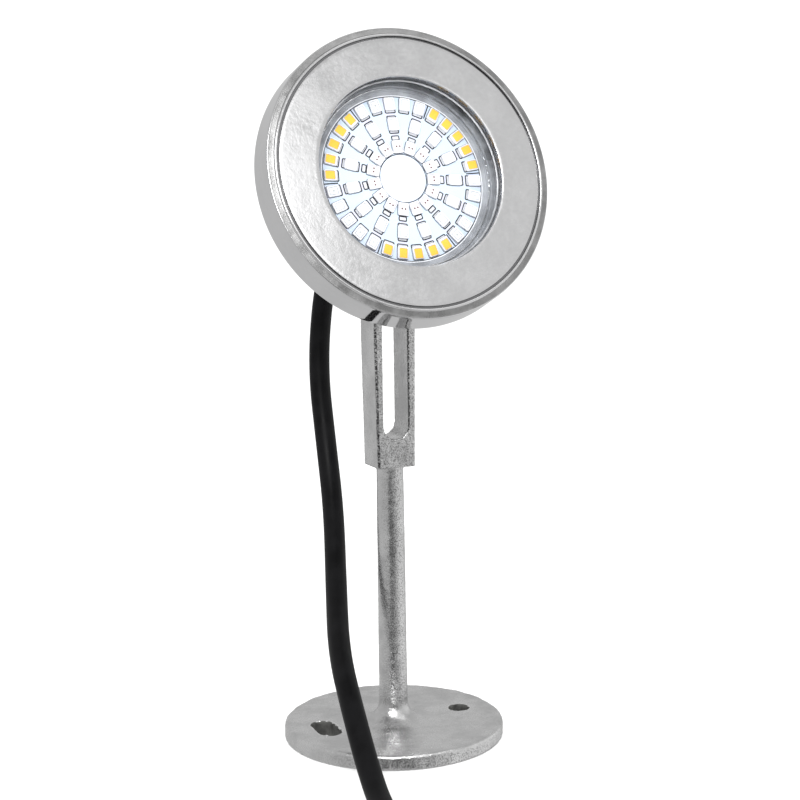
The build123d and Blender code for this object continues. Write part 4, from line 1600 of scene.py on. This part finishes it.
@dataclass
class SupplyCord:
    """The black rubber cord: out of the gland, behind the stem, over the foot, then coil and connector."""

    head: LampHead
    diameter: float = 6.0 * MM
    start_run: float = 12.5 * MM
    mouth_depth: float = 34.04 * MM
    route: tuple[tuple[float, float, float], ...] = (
        (-1.3, 36.3, 133.1), (-2.9, 42.0, 119.6), (-5.1, 41.0, 98.6), (-4.9, 36.0, 77.2),
        (-7.0, 25.4, 59.4), (-13.4, 8.0, 41.5), (-21.3, -13.5, 29.5), (-24.7, -31.5, 19.5),
        (-26.0, -45.0, 8.3), (-27.8, -58.0, 3.0), (-30.8, -77.0, 3.0), (-35.2, -97.0, 3.0),
        (-37.0, -118.0, 3.0),
    )
    tail: tuple[tuple[float, float, float], ...] = (
        (-34.8, -146.3, 9.0), (-31.0, -162.0, 6.8), (-21.8, -176.3, 5.2), (-7.0, -184.4, 7.1),
        (6.0, -184.4, 7.1),
    )
    coil_centre: tuple[float, float] = (0.0, -137.0)
    coil_outer: float = 36.0
    coil_layer: float = 3.0
    coil_points: int = 16
    coil_end: float = 5.0
    coil_steps: tuple[tuple[float, float, float, float], ...] = (
        (0.78, 1.0, -6.0, 0.0), (1.78, 2.0, -6.0, 0.0), (2.55, 2.78, 0.0, 6.0),
        (3.42, 3.6, 6.0, 0.0), (4.42, 4.6, 6.0, 0.0),
    )
    bend_low: float = 34.0 * MM
    bend_high: float = 141.0 * MM

    def coil(self) -> list[Vector]:
        """The coil's points: turns inwards on the floor, a climb, and turns outwards on top of them.

        Returns:
            The points.
        """
        step = 2 * math.pi / self.coil_points
        hull = 1 / (0.75 + 0.25 * math.cos(step))
        points = []
        for i in range(int(self.coil_end * self.coil_points) + 1):
            turned = i / self.coil_points
            radius, height = self.coil_outer, self.coil_layer
            for start, end, inwards, climb in self.coil_steps:
                share = min(1.0, max(0.0, (turned - start) / (end - start)))
                radius += inwards * share
                height += climb * share
            angle = math.pi + turned * 2 * math.pi
            x = self.coil_centre[0] + radius * hull * math.cos(angle)
            y = self.coil_centre[1] + radius * hull * math.sin(angle)
            points.append(Vector((x, y, height)) * MM)
        return points

    def points(self) -> list[Vector]:
        """The whole cord's control points, from the gland's mouth to the connector.

        Returns:
            The points.
        """
        out = self.head.turn.col[2]
        mouth = self.head.centre - out * self.mouth_depth
        hanging = [mouth, mouth - out * self.start_run]
        hanging += [Vector(point) * MM for point in self.route]
        return hanging + self.coil() + [Vector(point) * MM for point in self.tail]

    def spline(self, radius: float) -> bpy.types.Object:
        """The cord's NURBS line, with a round section of this radius.

        Args:
            radius: the section's radius, or 0 for a bare line.

        Returns:
            The line.
        """
        curve = bpy.data.curves.new("supply_cord_line", "CURVE")
        curve.dimensions = "3D"
        curve.resolution_u = 10
        curve.bevel_depth = radius
        curve.bevel_resolution = 5
        curve.use_fill_caps = True
        line = curve.splines.new("NURBS")
        points = self.points()
        line.points.add(len(points) - 1)
        for place, point in zip(line.points, points):
            place.co = (*point, 1.0)
        line.order_u = 3
        line.use_endpoint_u = True
        return linked("supply_cord_line", curve)

    def build(self, connector: Sequence[str]) -> bpy.types.Object:
        """Args:
            connector: the CAD nodes at the cord's far end; not used.

        Returns:
            The cord.
        """
        bare = self.spline(0.0)
        path = [vertex.co.copy() for vertex in evaluated_mesh(bare).vertices]
        bpy.data.objects.remove(bare)
        round_line = self.spline(self.diameter / 2)
        tube = evaluated_mesh(round_line)
        bpy.data.objects.remove(round_line)
        cord = new_object("supply_cord", tube, 50.0)
        rubber = Moulded(
            "cord_rubber", CORD_BLACK, rough=0.42, gloss=0.10, grain=1300.0, vary=0.35
        )
        dressed(cord, rubber.make())
        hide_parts("cord_run", "cord_coil", "cord_tail")
        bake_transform(cord)
        return cord


# ---------------------------------------------------------------- carried-over CAD nodes


class CadFinishes:
    """Finishes for the CAD nodes whose own shape is shown."""

    def __init__(self, head: LampHead) -> None:
        """Makes each finish once.

        Args:
            head: the head, whose axis the turned finishes follow.
        """
        turned = TurnedSteel("housing_steel", head.centre, head.turn, smooth=0.26, rough=0.4).make()
        fastener = Moulded(
            "fastener_steel", (0.60, 0.60, 0.59), 0.27, metal=1.0, depth=0.003 * MM, vary=0.1
        ).make()
        gland = Moulded(
            "gland_steel", (0.56, 0.55, 0.52), 0.3, metal=1.0, depth=0.004 * MM, vary=0.12
        ).make()
        seal = Moulded("seal_rubber", (0.03, 0.03, 0.03), 0.55).make()
        cord = Moulded("cord_rubber_end", CORD_BLACK, 0.42, gloss=0.10, vary=0.35).make()
        green = Moulded("driver_green", (0.03, 0.20, 0.09), 0.4, coat=0.4, vary=0.2).make()
        chip = Moulded("chip_black", (0.02, 0.02, 0.022), 0.55).make()
        brass = Moulded("contact_brass", (0.80, 0.58, 0.25), 0.25, metal=1.0).make()
        plastic = Moulded(
            "connector_plastic", (0.022, 0.023, 0.025), 0.48, grain=2600.0, depth=0.01 * MM
        ).make()
        self.by_node = {
            "pivot_lug": turned, "rear_housing": turned, "pivot_bolt": fastener, "pivot_washers": fastener,
            "pivot_nut": fastener, "housing_screws": fastener, "driver_screws": fastener,
            "gland_body": gland, "gland_cap": gland, "gland_locknut": gland, "lens_gasket": seal,
            "housing_seal": seal, "gland_oring": seal, "gland_seal": seal, "connector_oring": seal,
            "cord_entry": cord, "driver_board": green, "driver_chip": chip, "driver_bridge": chip,
            "link_header": chip, "link_pins": brass, "connector_pins": brass, "connector_body": plastic,
            "coupling_nut": plastic,
            "thermal_pad": Moulded("thermal_pad", (0.55, 0.60, 0.66), 0.7).make(),
            "heat_spreader": Moulded("spreader_aluminium", (0.72, 0.73, 0.74), 0.4, metal=1.0).make(),
            "driver_inductor": Moulded("inductor_dark", (0.09, 0.09, 0.10), 0.6, vary=0.3).make(),
            "driver_capacitors": Moulded("capacitor_case", (0.62, 0.63, 0.66), 0.3, metal=0.9).make(),
            "supply_leads": Moulded("lead_copper", (0.85, 0.42, 0.26), 0.35, metal=1.0).make(),
            "connector_insert": Moulded("insert_plastic", (0.35, 0.36, 0.36), 0.5).make(),
        }

    def apply(self, nodes: dict[str, bpy.types.Object]) -> None:
        """Gives each node its finish."""
        for name, finish in self.by_node.items():
            dressed(nodes[name], finish)


# ---------------------------------------------------------------- studio


@dataclass(frozen=True)
class SoftPatch:
    """A round soft patch of the studio's surround."""

    toward: tuple[float, float, float]
    inner: float
    outer: float
    brightness: float


@dataclass
class Studio:
    """A pale floor, a white surround whose reflection has soft patches, a soft light and the camera."""

    eye: Vector = field(default_factory=lambda: Vector((-172.97, -408.05, 156.81)) * MM)
    aim: Vector = field(default_factory=lambda: Vector((3.37, 0.08, 94.03)) * MM)
    roll: float = math.radians(-0.84)
    focal: float = 73.77
    sensor: float = 36.0
    clip: tuple[float, float] = (0.01, 30.0)
    floor_half: float = 6.0
    floor_white: Colour = (0.97, 0.97, 0.97)
    key_at: tuple[float, float, float] = (-0.45, -0.85, 0.75)
    key_size: float = 0.5
    key_power: float = 9.0
    ambient: float = 1.2
    surround: float = 0.60
    patches: tuple[SoftPatch, ...] = (
        SoftPatch((0.0, 1.0, 0.15), 35, 75, 0.62),
        SoftPatch((0.92, -0.30, -0.2), 25, 50, 0.95),
        SoftPatch((0.50, -0.74, 0.45), 5, 22, 0.79),
        SoftPatch((-0.378, -0.89, -0.245), 7, 19, 0.03),
        SoftPatch((0.30, -0.40, 0.87), 6, 15, 1.8),
        SoftPatch((0.22, -0.81, 0.54), 5.8, 9.0, 2.1),
    )

    def build(self) -> None:
        """Builds the floor, the surround, the lights and the camera."""
        self._floor()
        self._surround()
        self._light("key", self.key_at, self.key_size, self.key_power)
        self._camera()

    def _floor(self) -> None:
        """The pale floor."""
        half = self.floor_half
        corners = [(-half, -half, 0), (half, -half, 0), (half, half, 0), (-half, half, 0)]
        mesh = bpy.data.meshes.new("floor")
        mesh.from_pydata(corners, [], [(0, 1, 2, 3)])
        floor = linked("floor", mesh)
        sheet = NodeSheet("floor_white")
        mirrored = sheet.add("LightPath").outputs["Is Glossy Ray"]
        dull = sheet.add("BsdfDiffuse", Color=opaque(self.floor_white))
        clear = sheet.add("BsdfTransparent")
        mixed = sheet.add("MixShader", in0=mirrored, in1=dull.outputs[0], in2=clear.outputs[0])
        sheet.add("OutputMaterial", Surface=mixed.outputs[0])
        dressed(floor, sheet.material)

    def _surround(self) -> None:
        """The world: plain white, but with soft patches in what the gloss of a surface mirrors."""
        world = bpy.data.worlds.new("studio")
        bpy.context.scene.world = world
        world.use_nodes = True
        world.cycles.sampling_method = "NONE"
        tree = world.node_tree
        tree.nodes.clear()
        way = tree.nodes.new("ShaderNodeTexCoord").outputs["Generated"]
        level: bpy.types.NodeSocket | None = None
        for patch in self.patches:
            dot = tree.nodes.new("ShaderNodeVectorMath")
            dot.operation = "DOT_PRODUCT"
            tree.links.new(way, dot.inputs[0])
            dot.inputs[1].default_value = Vector(patch.toward).normalized()
            ease = tree.nodes.new("ShaderNodeMapRange")
            ease.interpolation_type = "SMOOTHSTEP"
            tree.links.new(dot.outputs["Value"], ease.inputs[0])
            ease.inputs[1].default_value = math.cos(math.radians(patch.outer))
            ease.inputs[2].default_value = math.cos(math.radians(patch.inner))
            mix = tree.nodes.new("ShaderNodeMix")
            tree.links.new(ease.outputs[0], mix.inputs[0])
            if level is None:
                mix.inputs[2].default_value = self.surround
            else:
                tree.links.new(level, mix.inputs[2])
            mix.inputs[3].default_value = patch.brightness
            level = mix.outputs[0]
        path = tree.nodes.new("ShaderNodeLightPath")
        seen = tree.nodes.new("ShaderNodeMix")
        tree.links.new(path.outputs["Is Glossy Ray"], seen.inputs[0])
        seen.inputs[2].default_value = self.ambient
        tree.links.new(level, seen.inputs[3])
        glow = tree.nodes.new("ShaderNodeBackground")
        glow.inputs["Color"].default_value = opaque((1.0, 1.0, 1.0))
        tree.links.new(seen.outputs[0], glow.inputs["Strength"])
        out = tree.nodes.new("ShaderNodeOutputWorld")
        tree.links.new(glow.outputs[0], out.inputs[0])

    @staticmethod
    def _light(name: str, place: tuple[float, float, float], size: float, power: float) -> None:
        """A square soft light that faces the lamp.

        Args:
            name: the light's name.
            place: where it stands.
            size: its side.
            power: its power in watts.
        """
        data = bpy.data.lights.new(name, "AREA")
        data.size, data.energy = size, power
        light = linked(name, data)
        light.location = place
        toward = Vector((0, 0, 0.1)) - Vector(place)
        light.rotation_euler = toward.to_track_quat("-Z", "Y").to_euler()

    def _camera(self) -> None:
        """The camera."""
        data = bpy.data.cameras.new("camera")
        data.lens, data.sensor_width = self.focal, self.sensor
        data.clip_start, data.clip_end = self.clip
        camera = linked("camera", data)
        look = (self.aim - self.eye).to_track_quat("-Z", "Y").to_matrix()
        turn = look @ Matrix.Rotation(self.roll, 3, "Z")
        camera.matrix_world = Matrix.Translation(self.eye) @ turn.to_4x4()
        bpy.context.scene.camera = camera
        bpy.context.scene.view_settings.view_transform = "Standard"


def main() -> None:
    """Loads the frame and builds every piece."""
    logging.basicConfig(level=logging.INFO, format="%(name)s: %(message)s")
    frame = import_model()
    nodes = frame["nodes"]
    head = LampHead()
    for piece in head.build() + LampBoard(head).build() + CastStand().build(nodes):
        LOG.info("%s: %d faces", piece.name, len(piece.data.polygons))
    CadFinishes(head).apply(nodes)
    connector = ("connector_body", "connector_insert", "connector_pins", "connector_oring", "coupling_nut")
    SupplyCord(head).build(connector)
    Studio().build()


if __name__ == "__main__":
    main()
